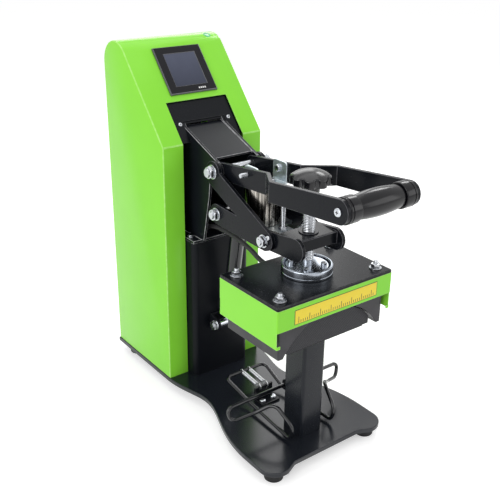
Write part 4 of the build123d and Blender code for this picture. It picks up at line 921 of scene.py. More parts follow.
def hex_bolt(flats, head, thread_r=0.0, washer_r=0.0, washer_t=1.4):
    """A hexagon head with a dished top, on a washer if one is wanted."""
    bm = bmesh.new()
    start = washer_t if washer_r else 0.0
    if washer_r:
        washer(thread_r or flats * 0.25, washer_r, washer_t, ORIGIN, bm)
    hexagon(flats, head, Z * (start * MM), bm)
    dish, top = flats * 0.33, start + head
    turned([(0, top - 0.25), (dish * 0.9, top - 0.25), (dish, top + 0.04), (dish + 0.3, top + 0.04),
            (dish + 0.35, top - 0.1)], ORIGIN, Z, 32, bm)
    return to_mesh("hex_bolt", bm, CRISP)


def hex_nut(flats, height, bore, washer_r=0.0, washer_t=1.4):
    bm = bmesh.new()
    start = washer_t if washer_r else 0.0
    if washer_r:
        washer(bore, washer_r, washer_t, ORIGIN, bm)
    hexagon(flats, height, Z * (start * MM), bm, bore=bore, both_ends=True)
    return to_mesh("hex_nut", bm, CRISP)


def nut_end(flats, reach, radius, pitch, washer_r):
    """A thread end in its nut, on a plain washer and a spring washer."""
    bm = bmesh.new()
    thin, nut_height = reach * 0.15, reach * 0.50
    washer(radius, washer_r, thin, ORIGIN, bm)
    washer(radius, flats * 0.5, thin, Z * thin * MM, bm)
    hexagon(flats, nut_height, Z * 2 * thin * MM, bm, bore=radius * 0.98, both_ends=True)
    nut = to_mesh("nut_end", bm, CRISP)
    return joined("nut_end", nut, threaded("nut_end_thread", radius, pitch, reach, ORIGIN, Z))


def pan_head(radius, height, recess=0.42):
    """A pan head, and the dark of its cross recess."""
    edge = height * 0.55
    profile = [(radius, 0.0)] + arc(radius - edge, height - edge, edge, 0, 70, 5)
    profile += [(radius * 0.45, height), (0, height)]
    head = to_mesh("pan_head", turned(profile, ORIGIN, Z, 32), 40.0)
    arm, half = radius * recess, radius * 0.11
    floor, top = height * 0.6, height + 0.03
    bm = bmesh.new()
    for a, b in ((half, arm), (arm, half)):
        corners = [(-a, -b), (a, -b), (a, b), (-a, b)]
        low, high = ([bm.verts.new(Vector((x, y, z)) * MM) for x, y in corners] for z in (floor, top))
        skin(bm, low, high)
        bm.faces.new(high)
    return head, to_mesh("cross_recess", bm)


def socket_head(radius, height, key):
    """A socket head with a hexagon recess."""
    bm = bmesh.new()
    count, chamfer, mouth_r, floor = 24, radius * 0.1, key * 0.62, height * 0.4
    turned([(radius, 0), (radius, height - chamfer), (radius - chamfer, height), (mouth_r, height)],
           ORIGIN, Z, count, bm)
    angles = [TAU * k / count for k in range(count)]

    def ring(radii, z):
        return [bm.verts.new(Vector((r * cos(a), r * sin(a), z)) * MM) for r, a in zip(radii, angles)]

    reach = hexagon_reach(key / 2, angles)
    rings = [ring([mouth_r] * count, height), ring(reach, height), ring(reach, floor),
             [bm.verts.new(Z * floor * MM)]]
    for low, high in zip(rings, rings[1:]):
        skin(bm, low, high)
    bmesh.ops.remove_doubles(bm, verts=bm.verts, dist=0.001 * MM)
    return to_mesh("socket_head", bm, 30.0)


def threaded(name, radius, pitch, length, origin, axis):
    """A threaded rod from the origin along an axis."""
    steps = ceil(length / pitch * 7)
    values = {"Radius": radius, "Pitch": pitch, "Length": length, "Steps": steps, "Material": finish(zinc)}
    return smooth(put(grow(name, thread_tree, values), origin, axis), 60.0)


def scattered(name, fastener, spots, make, body, slot, *nodes):
    """Copies of one fastener mesh at (point, axis) spots, as one piece."""
    pattern = new_item(f"{name}_pattern", fastener)
    mesh = grow(name, scatter_tree, {"Fastener": pattern, "Material": finish(make)}, spots)
    bpy.data.objects.remove(pattern)
    return piece(name, smooth(mesh), make, body, slot, *nodes)


def cross_screws(name, radius, height, spots, body, slot, *nodes, make=zinc):
    """Pan heads at the spots as one piece, and their cross recesses as another."""
    head, cross = pan_head(radius, height)
    scattered(f"{name}_heads", head, spots, make, body, slot, *nodes)
    scattered(f"{name}_crosses", cross, spots, black_oxide, body, slot)


# ---------------------------------------------------------------- camera, light and floor
class PressColours(bpy.types.PropertyGroup):
    """Main colours of the press."""
    enamel: FloatVectorProperty(
        name="Enamel", description="Paint of the housing and of the heater's skirt", subtype="COLOR",
        size=3, min=0.0, max=1.0, default=(0.265, 0.755, 0.05))
    black: FloatVectorProperty(
        name="Black", description="Paint of the frame, the arms and the plates", subtype="COLOR",
        size=3, min=0.0, max=1.0, default=(0.0055, 0.0066, 0.0092))


class PressSizes(bpy.types.PropertyGroup):
    """Sizes that only the looks need."""
    plate_edge: FloatProperty(
        name="Plate edge", description="Radius of the edges of the painted plates, in millimetres",
        min=0.1, max=1.5, default=0.55)
    fold: FloatProperty(
        name="Housing fold", description="Outer radius of the housing's folds, in millimetres",
        min=0.3, max=3.0, default=1.3)
    coil_turns: IntProperty(
        name="Spring turns", description="Turns of each wire spring", min=8, max=60, default=25)
    strip_length: FloatProperty(
        name="Strip length", description="Length of the yellow strip on the skirt", subtype="DISTANCE",
        unit="LENGTH", min=0.05, max=0.16, default=0.130)
    strip_height: FloatProperty(
        name="Strip height", description="Height of the yellow strip on the skirt", subtype="DISTANCE",
        unit="LENGTH", min=0.008, max=0.022, default=0.0185)


class PressStage(bpy.types.PropertyGroup):
    """Camera and light."""
    focal: FloatProperty(
        name="Focal length", description="Focal length of the camera", subtype="DISTANCE_CAMERA",
        unit="CAMERA", min=20.0, max=200.0, default=56.79)
    azimuth: FloatProperty(
        name="Azimuth", description="Direction the camera looks, from +Y towards -X", subtype="ANGLE",
        default=radians(-37.516))
    elevation: FloatProperty(
        name="Elevation", description="How far the camera looks down", subtype="ANGLE",
        default=radians(23.503))
    roll: FloatProperty(
        name="Roll", description="Turn of the camera about its own line", subtype="ANGLE",
        default=radians(0.8))
    place: FloatVectorProperty(
        name="Camera place", description="Where the camera stands", subtype="XYZ", unit="LENGTH",
        size=3, default=(-0.580568, -0.756036, 0.645829))
    light: FloatProperty(
        name="Light", description="Strength of all the lamps together", min=0.1, max=4.0, default=1.0)


class HEATPRESS_OT_stage(bpy.types.Operator):
    """Sets up the camera, the soft lamps, the world and the pale floor"""
    bl_idname = "heatpress.stage"
    bl_label = "Stage"

    def execute(self, context):
        look = context.scene.press_stage
        aim_camera(look)
        hang_lamps(look.light)
        light_world()
        lay_floor()
        context.scene.view_settings.view_transform = "Standard"
        return {"FINISHED"}


def aim_camera(look):
    az, el = look.azimuth, look.elevation
    ahead = Vector((-sin(az) * cos(el), cos(az) * cos(el), -sin(el)))
    level = Vector((cos(az), sin(az), 0))
    over = level.cross(ahead)
    right = cos(look.roll) * level + sin(look.roll) * over
    up = -sin(look.roll) * level + cos(look.roll) * over
    data = bpy.data.cameras.new("camera")
    data.sensor_width = 36.0
    data.lens = look.focal
    data.clip_start, data.clip_end = 0.05, 30.0
    turn = Matrix((right, up, -ahead)).transposed().to_4x4()
    camera = new_item("camera", data)
    camera.matrix_world = Matrix.Translation(Vector(look.place)) @ turn
    bpy.context.scene.camera = camera


WHITE = (1, 1, 1, 1)
LAMPS = [    # name, place, size and power
    ("overhead", (0.1, 0.3, 1.9), 1.5, 8.4), ("front_left", (-1.8, -0.5, 1.0), 1.3, 15.0),
    ("front_right", (1.3, -1.6, 0.9), 1.0, 5.0), ("back_right", (1.0, 1.5, 1.2), 0.9, 5.0),
    ("glint", (1.3, 0.65, 1.45), 0.4, 3.5)]


def hang_lamps(strength):
    """Soft boxes overhead, in front and behind, and a small bright one for glints along edges and barrels."""
    for name, place, size, power in LAMPS:
        data = bpy.data.lights.new(name, "AREA")
        data.shape, data.size = "SQUARE", size
        data.energy = power * strength
        lamp = new_item(name, data)
        lamp.location = place
        lamp.rotation_euler = facing(Vector(place) - middle(cad_box)).to_euler()


def seen_directly(g):
    """1 for camera, mirror and glass rays, 0 for those that light the object."""
    path = g.tree.nodes.new("ShaderNodeLightPath")
    kinds = ("Is Camera Ray", "Is Glossy Ray", "Is Transmission Ray")
    camera, mirror, glass = (Sock(g, path.outputs[name]) for name in kinds)
    return camera.maths("MAXIMUM", mirror.maths("MAXIMUM", glass))


def light_world():
    """White all round, and dimmer where it only lights the object."""
    dim = 0.62
    world = bpy.data.worlds.new("white_room")
    world.use_nodes = True
    bpy.context.scene.world = world
    g = Graph(world.node_tree)
    shade = world.node_tree.nodes["Background"]
    g.join(shade.inputs["Color"], WHITE)
    g.join(shade.inputs["Strength"], dim + (1 - dim) * seen_directly(g))


def lay_floor():
    """A white floor that keeps the shadow and otherwise runs into the background."""
    half, tone, glow = 9.0, 0.86, 0.46
    mesh = bpy.data.meshes.new("floor")
    corners = [(x * half, y * half, 0) for x, y in ((-1, -1), (1, -1), (1, 1), (-1, 1))]
    mesh.from_pydata(corners, [], [(0, 1, 2, 3)])
    s = Shader("pale_floor").set(Base_Color=(tone, tone, tone, 1), Roughness=0.9, Specular_IOR_Level=0.0)
    own = s.add("ShaderNodeEmission", {}, WHITE, seen_directly(s) * glow)
    both = s.add("ShaderNodeAddShader", {}, Sock(s, s.surface.outputs[0]), own)
    s.join(s.tree.nodes["Material Output"].inputs["Surface"], both)
    mesh.materials.append(s.material)
    floor = new_item("floor", mesh)


# ---------------------------------------------------------------- heater lead
LEAD_POINTS_MM = [
    (-18, 86, 206), (-18, 84, 236), (-18, 62, 252), (-14, 24, 250), (-10, -12, 241), (-7, -34, 228),
    (-7, -51.5, 228)]
LEAD_RADIUS_MM = 3.2


class HEATPRESS_OT_lead(bpy.types.Operator):
    """Hangs the braided heater lead between the head and the platen"""
    bl_idname = "heatpress.lead"
    bl_label = "Heater lead"

    def execute(self, context):
        points = spline_points([Vector(p) * MM for p in LEAD_POINTS_MM])
        mesh = tube("heater_lead_braid", points, LEAD_RADIUS_MM)
        mesh.materials.append(finish(braided_sleeve))
        lead = new_item("heater_lead_braid", mesh)
        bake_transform(lead)
        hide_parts("heater_lead")
        return {"FINISHED"}


def spline_points(controls):
    """Points of the smooth line that the control points give."""
    data = bpy.data.curves.new("route", "CURVE")
    data.dimensions = "3D"
    data.resolution_u = 12
    line = data.splines.new("NURBS")
    line.points.add(len(controls) - 1)
    for point, place in zip(line.points, controls):
        point.co = (*place, 1.0)
    line.order_u = 3
    line.use_endpoint_u = True
    mesh = plain_mesh(new_item("route", data))
    points = [v.co.copy() for v in mesh.vertices]
    bpy.data.meshes.remove(mesh)
    return points


# ---------------------------------------------------------------- frame pieces
class HEATPRESS_OT_housing(bpy.types.Operator):
    """Folds the green housing, its rear panel, inlet and screws"""
    bl_idname = "heatpress.housing"
    bl_label = "Housing"

    def execute(self, context):
        fold_housing(context.scene.press_sizes.fold)
        dress("back_plate", plate_black, "frame", "plate_black", 0.4)
        dress("rear_panel", plate_black, "frame", "plate_black", 0.3)
        close_mouth()
        dress("mains_inlet", inlet_plastic, "frame", "inlet_plastic", 0.35)
        dress("rocker_switch", rocker_plastic, "rocker", "rocker_plastic", 0.6, 3)
        fit_inlet_pins()
        mark_rocker()
        set_housing_screws()
        fit_lamp()
        return {"FINISHED"}


def close_mouth():
    """A flap close behind the black mouth plate, over the gap above the channel."""
    notch_half, width, height, thick, below, gap = (n * MM for n in (35, 66.4, 10.0, 1.4, 2.9, 0.1))
    bm = merged("back_plate")
    corners = sorted({(round(v.co.z, 6), round(v.co.y, 6)) for v in bm.verts if abs(v.co.x) < notch_half})
    bm.free()
    foot, head, head_out = (Vector((0, y, z)) for z, y in (corners[0], corners[-2], corners[-1]))
    up, inward = (head - foot).normalized(), (head - head_out).normalized()
    centre = head + up * (height / 2 - below) + inward * (thick / 2 + gap)
    flap = bmesh.new()
    add_block(flap, centre, (width, height, thick), Matrix((X, up, inward)).transposed())
    piece("mouth_flap", to_mesh("mouth_flap", flap), plate_black, "frame", "plate_black")


def fold_housing(fold_mm):
    """Rounds the long outer folds with the sheet's own radius and the cut edges with a fine one."""
    near, fine_mm, upper = 0.05 * MM, 0.28, 0.7
    bm = merged("housing_cover")
    lo, hi, _ = box_of("housing_cover")

    def on_face(edge, axis, place):
        return all(abs(v.co[axis] - place) < near for v in edge.verts)

    def is_fold(edge):
        """True for the sharp edges of both sides and of the front's upper part."""
        high = all(v.co.z > lo.z + (hi.z - lo.z) * upper for v in edge.verts)
        outer = on_face(edge, 0, lo.x) or on_face(edge, 0, hi.x) or (high and on_face(edge, 1, lo.y))
        return outer and edge.is_manifold and edge.calc_face_angle() > radians(30)

    folds = [edge for edge in bm.edges if is_fold(edge)]
    # the fold strips marked here get the enamel's painted highlight
    mark = bm.faces.layers.float.new(EDGE_MARK)
    made = bmesh.ops.bevel(bm, geom=folds, offset=fold_mm * MM, offset_type="OFFSET", segments=3,
                           profile=0.5, affect="EDGES", clamp_overlap=False)
    for face in made["faces"]:
        face[mark] = 1.0
    mesh = rounded("housing_cover", bm, fine_mm, 1, 42.0)
    piece("housing_shell", mesh, green_enamel, "frame", "housing_green", "housing_cover")


def set_housing_screws():
    """Heads on the rear panel, under the base and on the sloping black plate."""
    radius, height = 2.8, 1.8
    panel_y, foot_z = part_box("housing_cover")[1].y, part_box("base_plate")[0].z
    plate_lo, plate_hi, _ = box_of("back_plate")
    out = Vector((0, plate_lo.z - plate_hi.z, plate_hi.y - plate_lo.y)).normalized()
    # a tilted head fills its box, so the middle of its seat is this far from the box's sides
    from_front = (radius * out.z + height * abs(out.y)) * MM
    from_top = (radius * abs(out.y) + height * out.z) * MM
    spots = []
    for lo, hi in solids("housing_screws"):
        mid = (lo + hi) / 2
        if hi.y > panel_y:
            spots.append((at(mid, y=panel_y), Y))
        elif lo.z < foot_z:
            spots.append((at(mid, z=foot_z), -Z))
        else:
            spots.append((Vector((mid.x, lo.y + from_front, hi.z - from_top)), out))
    cross_screws("housing_screw", radius, height, spots, "frame", "dark_screws", "housing_screws")


def fit_inlet_pins():
    """Three flat pins inside the mains socket, and its earth pin higher than the other two."""
    _, hi, mid = box_of("mains_inlet")
    socket_depth, socket_z = 18 * MM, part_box("mains_inlet")[0].z + 14 * MM
    size = (2.0 * MM, 13.0 * MM, 4.0 * MM)
    bm = bmesh.new()
    for dx, dz in ((-7, -1.5), (7, -1.5), (0, 2.0)):
        add_block(bm, (mid.x + dx * MM, hi.y - socket_depth + size[1] / 2, socket_z + dz * MM), size)
    piece("inlet_pins", rounded("inlet_pins", bm, 0.4), bright_steel, "frame", "inlet_plastic")


def mark_rocker():
    """A ring and a stroke on the two halves of the rocker."""
    _, hi, mid = box_of("rocker_switch")
    apart, ring_depth, stroke_depth = 4.2 * MM, 0.70 * MM, 0.65 * MM
    bm = bmesh.new()
    turned([(1.5, 0), (2.1, 0), (2.1, 0.15), (1.5, 0.15), (1.5, 0)],
           Vector((mid.x - apart, hi.y - ring_depth, mid.z)), Vector((0.12, 1, 0)).normalized(), 24, bm)
    add_block(bm, (mid.x + apart, hi.y - stroke_depth, mid.z), (0.6 * MM, 0.2 * MM, 3.6 * MM),
              Matrix.Rotation(radians(-6.5), 3, "Z"))
    piece("rocker_marks", to_mesh("rocker_marks", bm), print_ink, "rocker", "rocker_plastic")


def fit_lamp():
    """A milky lens in a raised teal ring, on the housing's crown."""
    crown = 31.4 * MM
    _, hi, mid = box_of("status_lamp")
    ahead = mid.y - (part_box("housing_cover")[1].y - crown)
    normal = Vector((0, ahead, sqrt(max(0.0, crown ** 2 - ahead ** 2)))).normalized()
    seat = at(mid, z=hi.z - 1.0 * MM)
    ring = [(3.9, -2)] + arc(4.5, 0.2, 0.6, 180, 0, 8) + [(5.1, -2)]
    lens = [(4.0, -2), (4.0, 0.1), (2.6, 0.35), (0, 0.5)]
    part = to_mesh("lamp_ring", turned(ring, seat, normal, 40), 60)
    piece("lamp_ring", part, lamp_ring, "frame", "lamp_ring")
    part = to_mesh("lamp_lens", turned(lens, seat, normal, 32), 60)
    piece("lamp_lens", part, lamp_lens, "frame", "lamp_ring", "status_lamp")


class HEATPRESS_OT_controller(bpy.types.Operator):
    """Builds the touch controller in the sloping face"""
    bl_idname = "heatpress.controller"
    bl_label = "Controller"

    def execute(self, context):
        dress("controller_body", bezel_plastic, "frame", "bezel_plastic", 0.5, 3)
        dress("touch_screen", display_glass, "frame", "screen_glass", 0.15, 1)
        mark_bezel()
        return {"FINISHED"}


def mark_bezel():
    """Four small plain blocks below the display, where its reset key is marked."""
    count, pitch, size = 4, 3.0 * MM, (2.0 * MM, 2.4 * MM, 0.16 * MM)
    inset, below, above = 15 * MM, 5.2 * MM, 1.1 * MM
    lo, hi, _ = box_of("touch_screen")
    up = Vector((0, hi.y - lo.y, hi.z - lo.z)).normalized()
    out = Vector((0, -up.z, up.y))
    start = Vector((hi.x - inset, lo.y, lo.z)) - up * below + out * above
    bm = bmesh.new()
    for k in range(count):
        add_block(bm, start + X * k * pitch, size, Matrix((X, up, out)).transposed())
    piece("bezel_marks", to_mesh("bezel_marks", bm), print_ink, "frame", "bezel_plastic")


class HEATPRESS_OT_base(bpy.types.Operator):
    """Finishes the base plate, the feet, the column, the head and the post"""
    bl_idname = "heatpress.base"
    bl_label = "Base and column"

    def execute(self, context):
        edge = context.scene.press_sizes.plate_edge
        for node, make, slot, *rounding in (
                ("base_plate", base_black, "base_black", 0.5),
                ("rubber_feet", rubber, "foot_rubber", 0.5),
                ("column", textured_black, "column_black", 0.5),
                ("head_frame", head_black, "column_black", edge),
                ("post", post_black, "column_black", 0.5),
                ("former_shelf", plate_black, "plate_black", edge),
                ("cap_former", cast_alloy, "cast_alloy", 0.6),
                ("silicone_pad", silicone, "pad_silicone", 0.9, 3),
                ("damper_clevis", textured_black, "column_black", edge),
                ("wire_clamp", plate_black, "plate_black", edge),
                ("spring_bracket", plate_black, "plate_black", 0.4)):
            dress(node, make, "frame", slot, *rounding)
        set_frame_bolts()
        return {"FINISHED"}


def level_spots(node, height, axis=Z):
    """A spot at that height over or under each solid of a node."""
    return [(Vector((*middle(box).xy, height)), axis) for box in solids(node)]


def set_frame_bolts():
    """Hexagon and pan heads of the frame, each on its own seat."""
    under = level_spots("base_bolts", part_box("base_plate")[0].z, -Z)
    scattered("base_bolt_heads", hex_bolt(13, 5, 4), under, zinc, "frame", "zinc_steel", "base_bolts")
    heads = level_spots("head_screws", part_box("column")[1].z + 4 * MM)
    bolt = hex_bolt(8, 3.2, 2.5, 5.0, 0.8)
    scattered("head_bolt_heads", bolt, heads, zinc, "frame", "zinc_steel", "head_screws")
    radius, height, shelf_side = 4.4, 3.0, 0.1     # above that many metres the heads point down
    spots = []
    for lo, hi in solids("pedestal_screws"):
        mid, span = (lo + hi) / 2, hi - lo
        if span.y > span.z:
            spots.append((at(mid, y=hi.y - height * MM), Y))
        elif mid.z > shelf_side:
            spots.append((at(mid, z=lo.z + height * MM), -Z))
        else:
            spots.append((at(mid, z=hi.z - height * MM), Z))
    cross_screws("pedestal_screw", radius, height, spots, "frame", "dark_screws", "pedestal_screws")
    arm_side, clevis_side = (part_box(node)[1].x / MM for node in ("arm_plate_right", "damper_clevis"))
    through_bolt("main_axle", "axle_bolt", arm_side + 0.1, 15, 6, 1.5, 9.5)
    through_bolt("damper_pin", "damper_pin_bolt", clevis_side, 13, 4, 1.25, 7.5)


def through_bolt(node, name, seat, flats, radius, pitch, washer_r):
    """A bolt along X between two seats: its nut and thread end on the left, its head on the right."""
    least_head, chamfer, thin = 4, 0.4, 1.5
    lo, hi, mid = box_of(node)
    head = hi.x / MM - seat
    end = seat if head > least_head else hi.x / MM
    shank = [(0, -seat), (radius, -seat), (radius, end - chamfer), (radius - chamfer, end), (0, end)]
    nut = nut_end(flats, -lo.x / MM - seat, radius, pitch, washer_r)
    meshes = [to_mesh(name, turned(shank, at(mid, x=0), X, 32)),
              put(nut, at(mid, x=-seat * MM), -X)]
    if head > least_head:
        bolt = hex_bolt(flats, head - thin, radius, washer_r, thin)
        meshes.append(put(bolt, at(mid, x=seat * MM), X))
    piece(name, smooth(joined(name, *meshes), CRISP), zinc, "frame", "zinc_steel", node)


class HEATPRESS_OT_wire(bpy.types.Operator):
    """Bends the cap wire and winds its two springs"""
    bl_idname = "heatpress.wire"
    bl_label = "Cap wire and springs"

    def execute(self, context):
        dress("cap_wire", wire_black, "cap_wire", "wire_black", 0.1, 1)
        wind_springs(context.scene.press_sizes.coil_turns)
        return {"FINISHED"}


COIL_MM, WIRE_MM = 2.55, 0.6        # radii of a spring's coil and of its wire
LEAD_IN_MM = 0.6                    # straight start of a spring's hook


def wind_springs(turns):
    """Close coils with a loop at each end: one through the bracket's hole, one round the wire's cross bar."""
    low_loop, high_loop = 4.3, 3.4
    bracket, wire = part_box("spring_bracket")[1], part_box("cap_wire")[1]
    bar_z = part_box("wire_springs")[1].z - 2.5 * MM
    meshes = []
    for lo, hi in solids("wire_springs"):
        x = (lo.x + hi.x) / 2
        low = Vector((x, bracket.y + 0.4 * MM, bracket.z - 1.0 * MM))
        high = Vector((x, wire.y - 2.8 * MM, bar_z))
        along = (high - low).normalized()
        start = low + along * (low_loop + LEAD_IN_MM) * MM
        end = high - along * (high_loop + LEAD_IN_MM) * MM
        values = {"Coil Radius": COIL_MM, "Wire Radius": WIRE_MM, "Length": (end - start).length / MM,
                  "Turns": float(turns), "Material": finish(spring_steel)}
        meshes.append(put(grow("spring_coil", spring_tree, values), start, along))
        meshes += [end_loop(start, -along, low_loop), end_loop(end, along, high_loop)]
    mesh = smooth(joined("spring_coils", *meshes), 80)
    piece("spring_coils", mesh, spring_steel, "frame", "spring_steel", "wire_springs")


def end_loop(start, along, radius):
    """A round hook that leaves the coil's rim and turns most of a circle in the YZ plane."""
    first, sweep, steps, rim = -158, 300, 22, 1.5
    side = X.cross(along)
    centre = start + along * (radius + LEAD_IN_MM) * MM
    points = [start - side * rim * MM - along * LEAD_IN_MM * MM]
    for k in range(steps + 1):
        turn = radians(first + sweep * k / steps)
        points.append(centre + (along * cos(turn) + side * sin(turn)) * radius * MM)
    return tube("hook", points, WIRE_MM, 8)


# ---------------------------------------------------------------- press arm, handle and magnet
class HEATPRESS_OT_arm(bpy.types.Operator):
    """Finishes the press arm, its yoke and its bolts"""
    bl_idname = "heatpress.arm"
    bl_label = "Press arm"

    def execute(self, context):
        edge = context.scene.press_sizes.plate_edge
        for node in ("arm_plate_left", "arm_plate_right", "yoke"):
            dress(node, arm_black, "press_arm", "arm_black", edge)
        dress("yoke_nut", arm_black, "press_arm", "zinc_steel", 0.4)
        dress("armature_plate", zinc_sheet, "press_arm", "zinc_steel", 0.5)
        dress("lift_spacers", bright_steel, "press_arm", "bright_tube", 0.4)
        bolt_press_arm()
        thread_stop_rod()
        return {"FINISHED"}


def side_spots(node, width_y, seat_x):
    """Spots on both sides for the solids of a node that are about that wide along Y, in millimetres."""
    spots, slack = [], 1.2
    for lo, hi in solids(node):
        if abs((hi.y - lo.y) / MM - width_y) < slack:
            mid = (lo + hi) / 2
            sign = 1 if mid.x > 0 else -1
            spots.append((at(mid, x=sign * seat_x), X * sign))
    return spots


def bolt_press_arm():
    """The lift bolt, two yoke bolts with nuts inside too, and two small tip screws."""
    lift_flats, lift_r, lift_washer, yoke_flats, yoke_r, yoke_pitch = 14, 5, 8.6, 13, 4, 1.25
    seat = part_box("arm_plate_right")[1].x
    mid = middle(max(solids("arm_bolts"), key=lambda box: box[1].x - box[0].x))
    end = seat / MM
    shank = turned([(0, -end), (lift_r, -end), (lift_r, end), (0, end)], at(mid, x=0), X, 32)
    left = put(nut_end(lift_flats, 9, lift_r, 1.5, lift_washer), at(mid, x=-seat), -X)
    right = put(hex_bolt(lift_flats, 7.5, lift_r, lift_washer, 1.5), at(mid, x=seat), X)
    mesh = smooth(joined("lift_bolt", to_mesh("lift_shank", shank), left, right), CRISP)
    piece("lift_bolt", mesh, zinc, "press_arm", "zinc_steel", "arm_bolts", "arm_nuts")
    yoke = side_spots("arm_bolts", yoke_flats * 2 / sqrt(3), seat) + side_spots("arm_bolts", yoke_flats, seat)
    yoke = [spot for spot in yoke if abs(spot[0].y - mid.y) > 50 * MM]
    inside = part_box("yoke")[1].x - 5 * MM
    lefts, rights = [spot for spot in yoke if spot[1].x < 0], [spot for spot in yoke if spot[1].x > 0]
    inner = [(at(place, x=axis.x * inside), -axis) for place, axis in yoke]
    nut, bolt = nut_end(yoke_flats, 7.5, yoke_r, yoke_pitch, 8.4), hex_bolt(yoke_flats, 6.1, yoke_r, 8.4, 1.4)
    scattered("yoke_nut_ends", nut, lefts, zinc, "press_arm", "zinc_steel")
    scattered("yoke_bolt_heads", bolt, rights, zinc, "press_arm", "zinc_steel")
    cross_screws("tip_screw", 3.4, 2.5, side_spots("arm_bolts", 6.2, seat), "press_arm", "zinc_steel")
    nut = nut_end(yoke_flats, 9.5, yoke_r, yoke_pitch, 8.0)
    scattered("yoke_inner_nuts", nut, inner, zinc, "press_arm", "zinc_steel")


def thread_stop_rod():
    """A fully threaded rod that is held by a nut above and below the armature plate."""
    lo, hi, mid = box_of("stop_rod")
    rod = threaded("stop_rod_thread", 3, 1.0, (hi.z - lo.z) / MM, at(mid, z=lo.z), Z)
    below, above, _ = box_of("armature_plate")
    nuts = [put(hex_nut(10, 4.5, 3), at(mid, z=z), axis)
            for z, axis in ((above.z, Z), (below.z, -Z))]
    mesh = smooth(joined("stop_rod_thread", rod, *nuts), CRISP)
    piece("stop_rod_threaded", mesh, zinc, "press_arm", "zinc_steel", "stop_rod")


class HEATPRESS_OT_handle(bpy.types.Operator):
    """Builds the handle plates, the turned grip and its screws"""
    bl_idname = "heatpress.handle"
    bl_label = "Handle"

    def execute(self, context):
        edge = context.scene.press_sizes.plate_edge
        for node in ("handle_arm_left", "handle_arm_right"):
            dress(node, arm_black, "handle", "arm_black", edge)
        turn_grip()
        set_grip_screws()
        return {"FINISHED"}


def turn_grip():
    """A bellied barrel between two collars, with a narrow groove where they meet."""
    swell, steps, rim, step_r = 2.6, 24, 1.2, 0.9
    lo, hi, mid = box_of("grip_barrel")
    axis_point = at(mid, x=0)
    half, belly = hi.x / MM, (hi.z - lo.z) / 2 / MM
    end_r = belly - swell
    places = [-1 + 2 * k / steps for k in range(steps + 1)]
    profile = [(0, -half), (end_r - step_r, -half), (end_r - step_r, -half + 1.0)]
    profile += [(end_r + (belly - end_r) * (1 - t * t), t * (half - rim)) for t in places]
    profile += [(end_r - step_r, half - 1.0), (end_r - step_r, half), (0, half)]
    mesh = to_mesh("grip_barrel", turned(profile, axis_point, X, 72), 40)
    piece("grip_barrel_turned", mesh, grip_plastic, "handle", "grip_gloss", "grip_barrel")
    lo, hi, _ = box_of("grip_collars")
    outer, reach = (hi.z - lo.z) / 2 / MM, hi.x / MM
    profile = [(0, half), (outer - 1.6, half)] + arc(outer - 1.1, half + 1.1, 1.1, 270, 360, 4)
    profile += [(outer, reach - 4.2), (outer - 0.9, reach - 3.8), (outer - 0.9, reach - 3.2),
                (outer, reach - 2.8)]
    profile += arc(outer - 1.0, reach - 1.0, 1.0, 0, 90, 4) + [(0, reach)]
    bm = bmesh.new()
    for side in (-1, 1):
        turned(profile, axis_point, X * side, 72, bm)
    mesh = to_mesh("grip_collars", bm, 40)
    piece("grip_collars_turned", mesh, grip_plastic, "handle", "grip_gloss", "grip_collars")


def set_grip_screws():
    """Dome heads with a cross recess, one at each end of the grip."""
    mid, seat = middle(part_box("grip_screws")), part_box("handle_arm_right")[1].x
    spots = [(at(mid, x=side * seat), X * side) for side in (-1, 1)]
    cross_screws("grip_screw", 5.0, 2.5, spots, "handle", "chrome_bright", "grip_screws", make=chrome)


class HEATPRESS_OT_magnet(bpy.types.Operator):
    """Turns the electromagnet and folds its zinc hangers"""
    bl_idname = "heatpress.magnet"
    bl_label = "Electromagnet"

    def execute(self, context):
        turn_magnet()
        dress("magnet_hangers", zinc_sheet, "handle", "zinc_steel", 0.6, 3)
        bolt_hangers()
        return {"FINISHED"}


def turn_magnet():
    """A steel pot with chamfered rims and a shallow groove near the foot."""
    lo, hi, mid = box_of("magnet_body")
    r, h = (hi.x - lo.x) / 2 / MM, (hi.z - lo.z) / MM
    profile = [(0, 0), (r - 0.8, 0), (r, 0.8), (r, 5.0), (r - 0.5, 5.3), (r - 0.5, 5.9), (r, 6.2),
               (r, h - 0.9), (r - 0.9, h), (0, h)]
    mesh = to_mesh("magnet_pot", turned(profile, at(mid, z=lo.z), Z, 96), 30)
    piece("magnet_pot", mesh, nickel, "handle", "magnet_nickel", "magnet_body")


def bolt_hangers():
    """Pan heads inside the hangers, thread ends outside, and screws into the magnet."""
    top_head, leg_head, thread = 3.0 * MM, 4.5 * MM, 12
    spots, ends = [], []
    for lo, hi in solids("hanger_bolts"):
        mid, span = (lo + hi) / 2, hi - lo
        if span.x < span.z:
            spots.append((at(mid, z=hi.z - top_head), Z))
            continue
        sign = 1 if mid.x > 0 else -1
        inner, outer = sorted((abs(lo.x), abs(hi.x)))
        spots.append((at(mid, x=sign * (inner + leg_head)), -X * sign))
        start = at(mid, x=sign * (outer - thread * MM))
        ends.append(threaded("hanger_thread", 3.0, 1.0, thread, start, X * sign))
    cross_screws("hanger_screw", 5.0, 3.2, spots, "handle", "zinc_steel", "hanger_bolts")
    piece("hanger_thread_ends", joined("hanger_thread_ends", *ends), zinc, "handle", "zinc_steel")


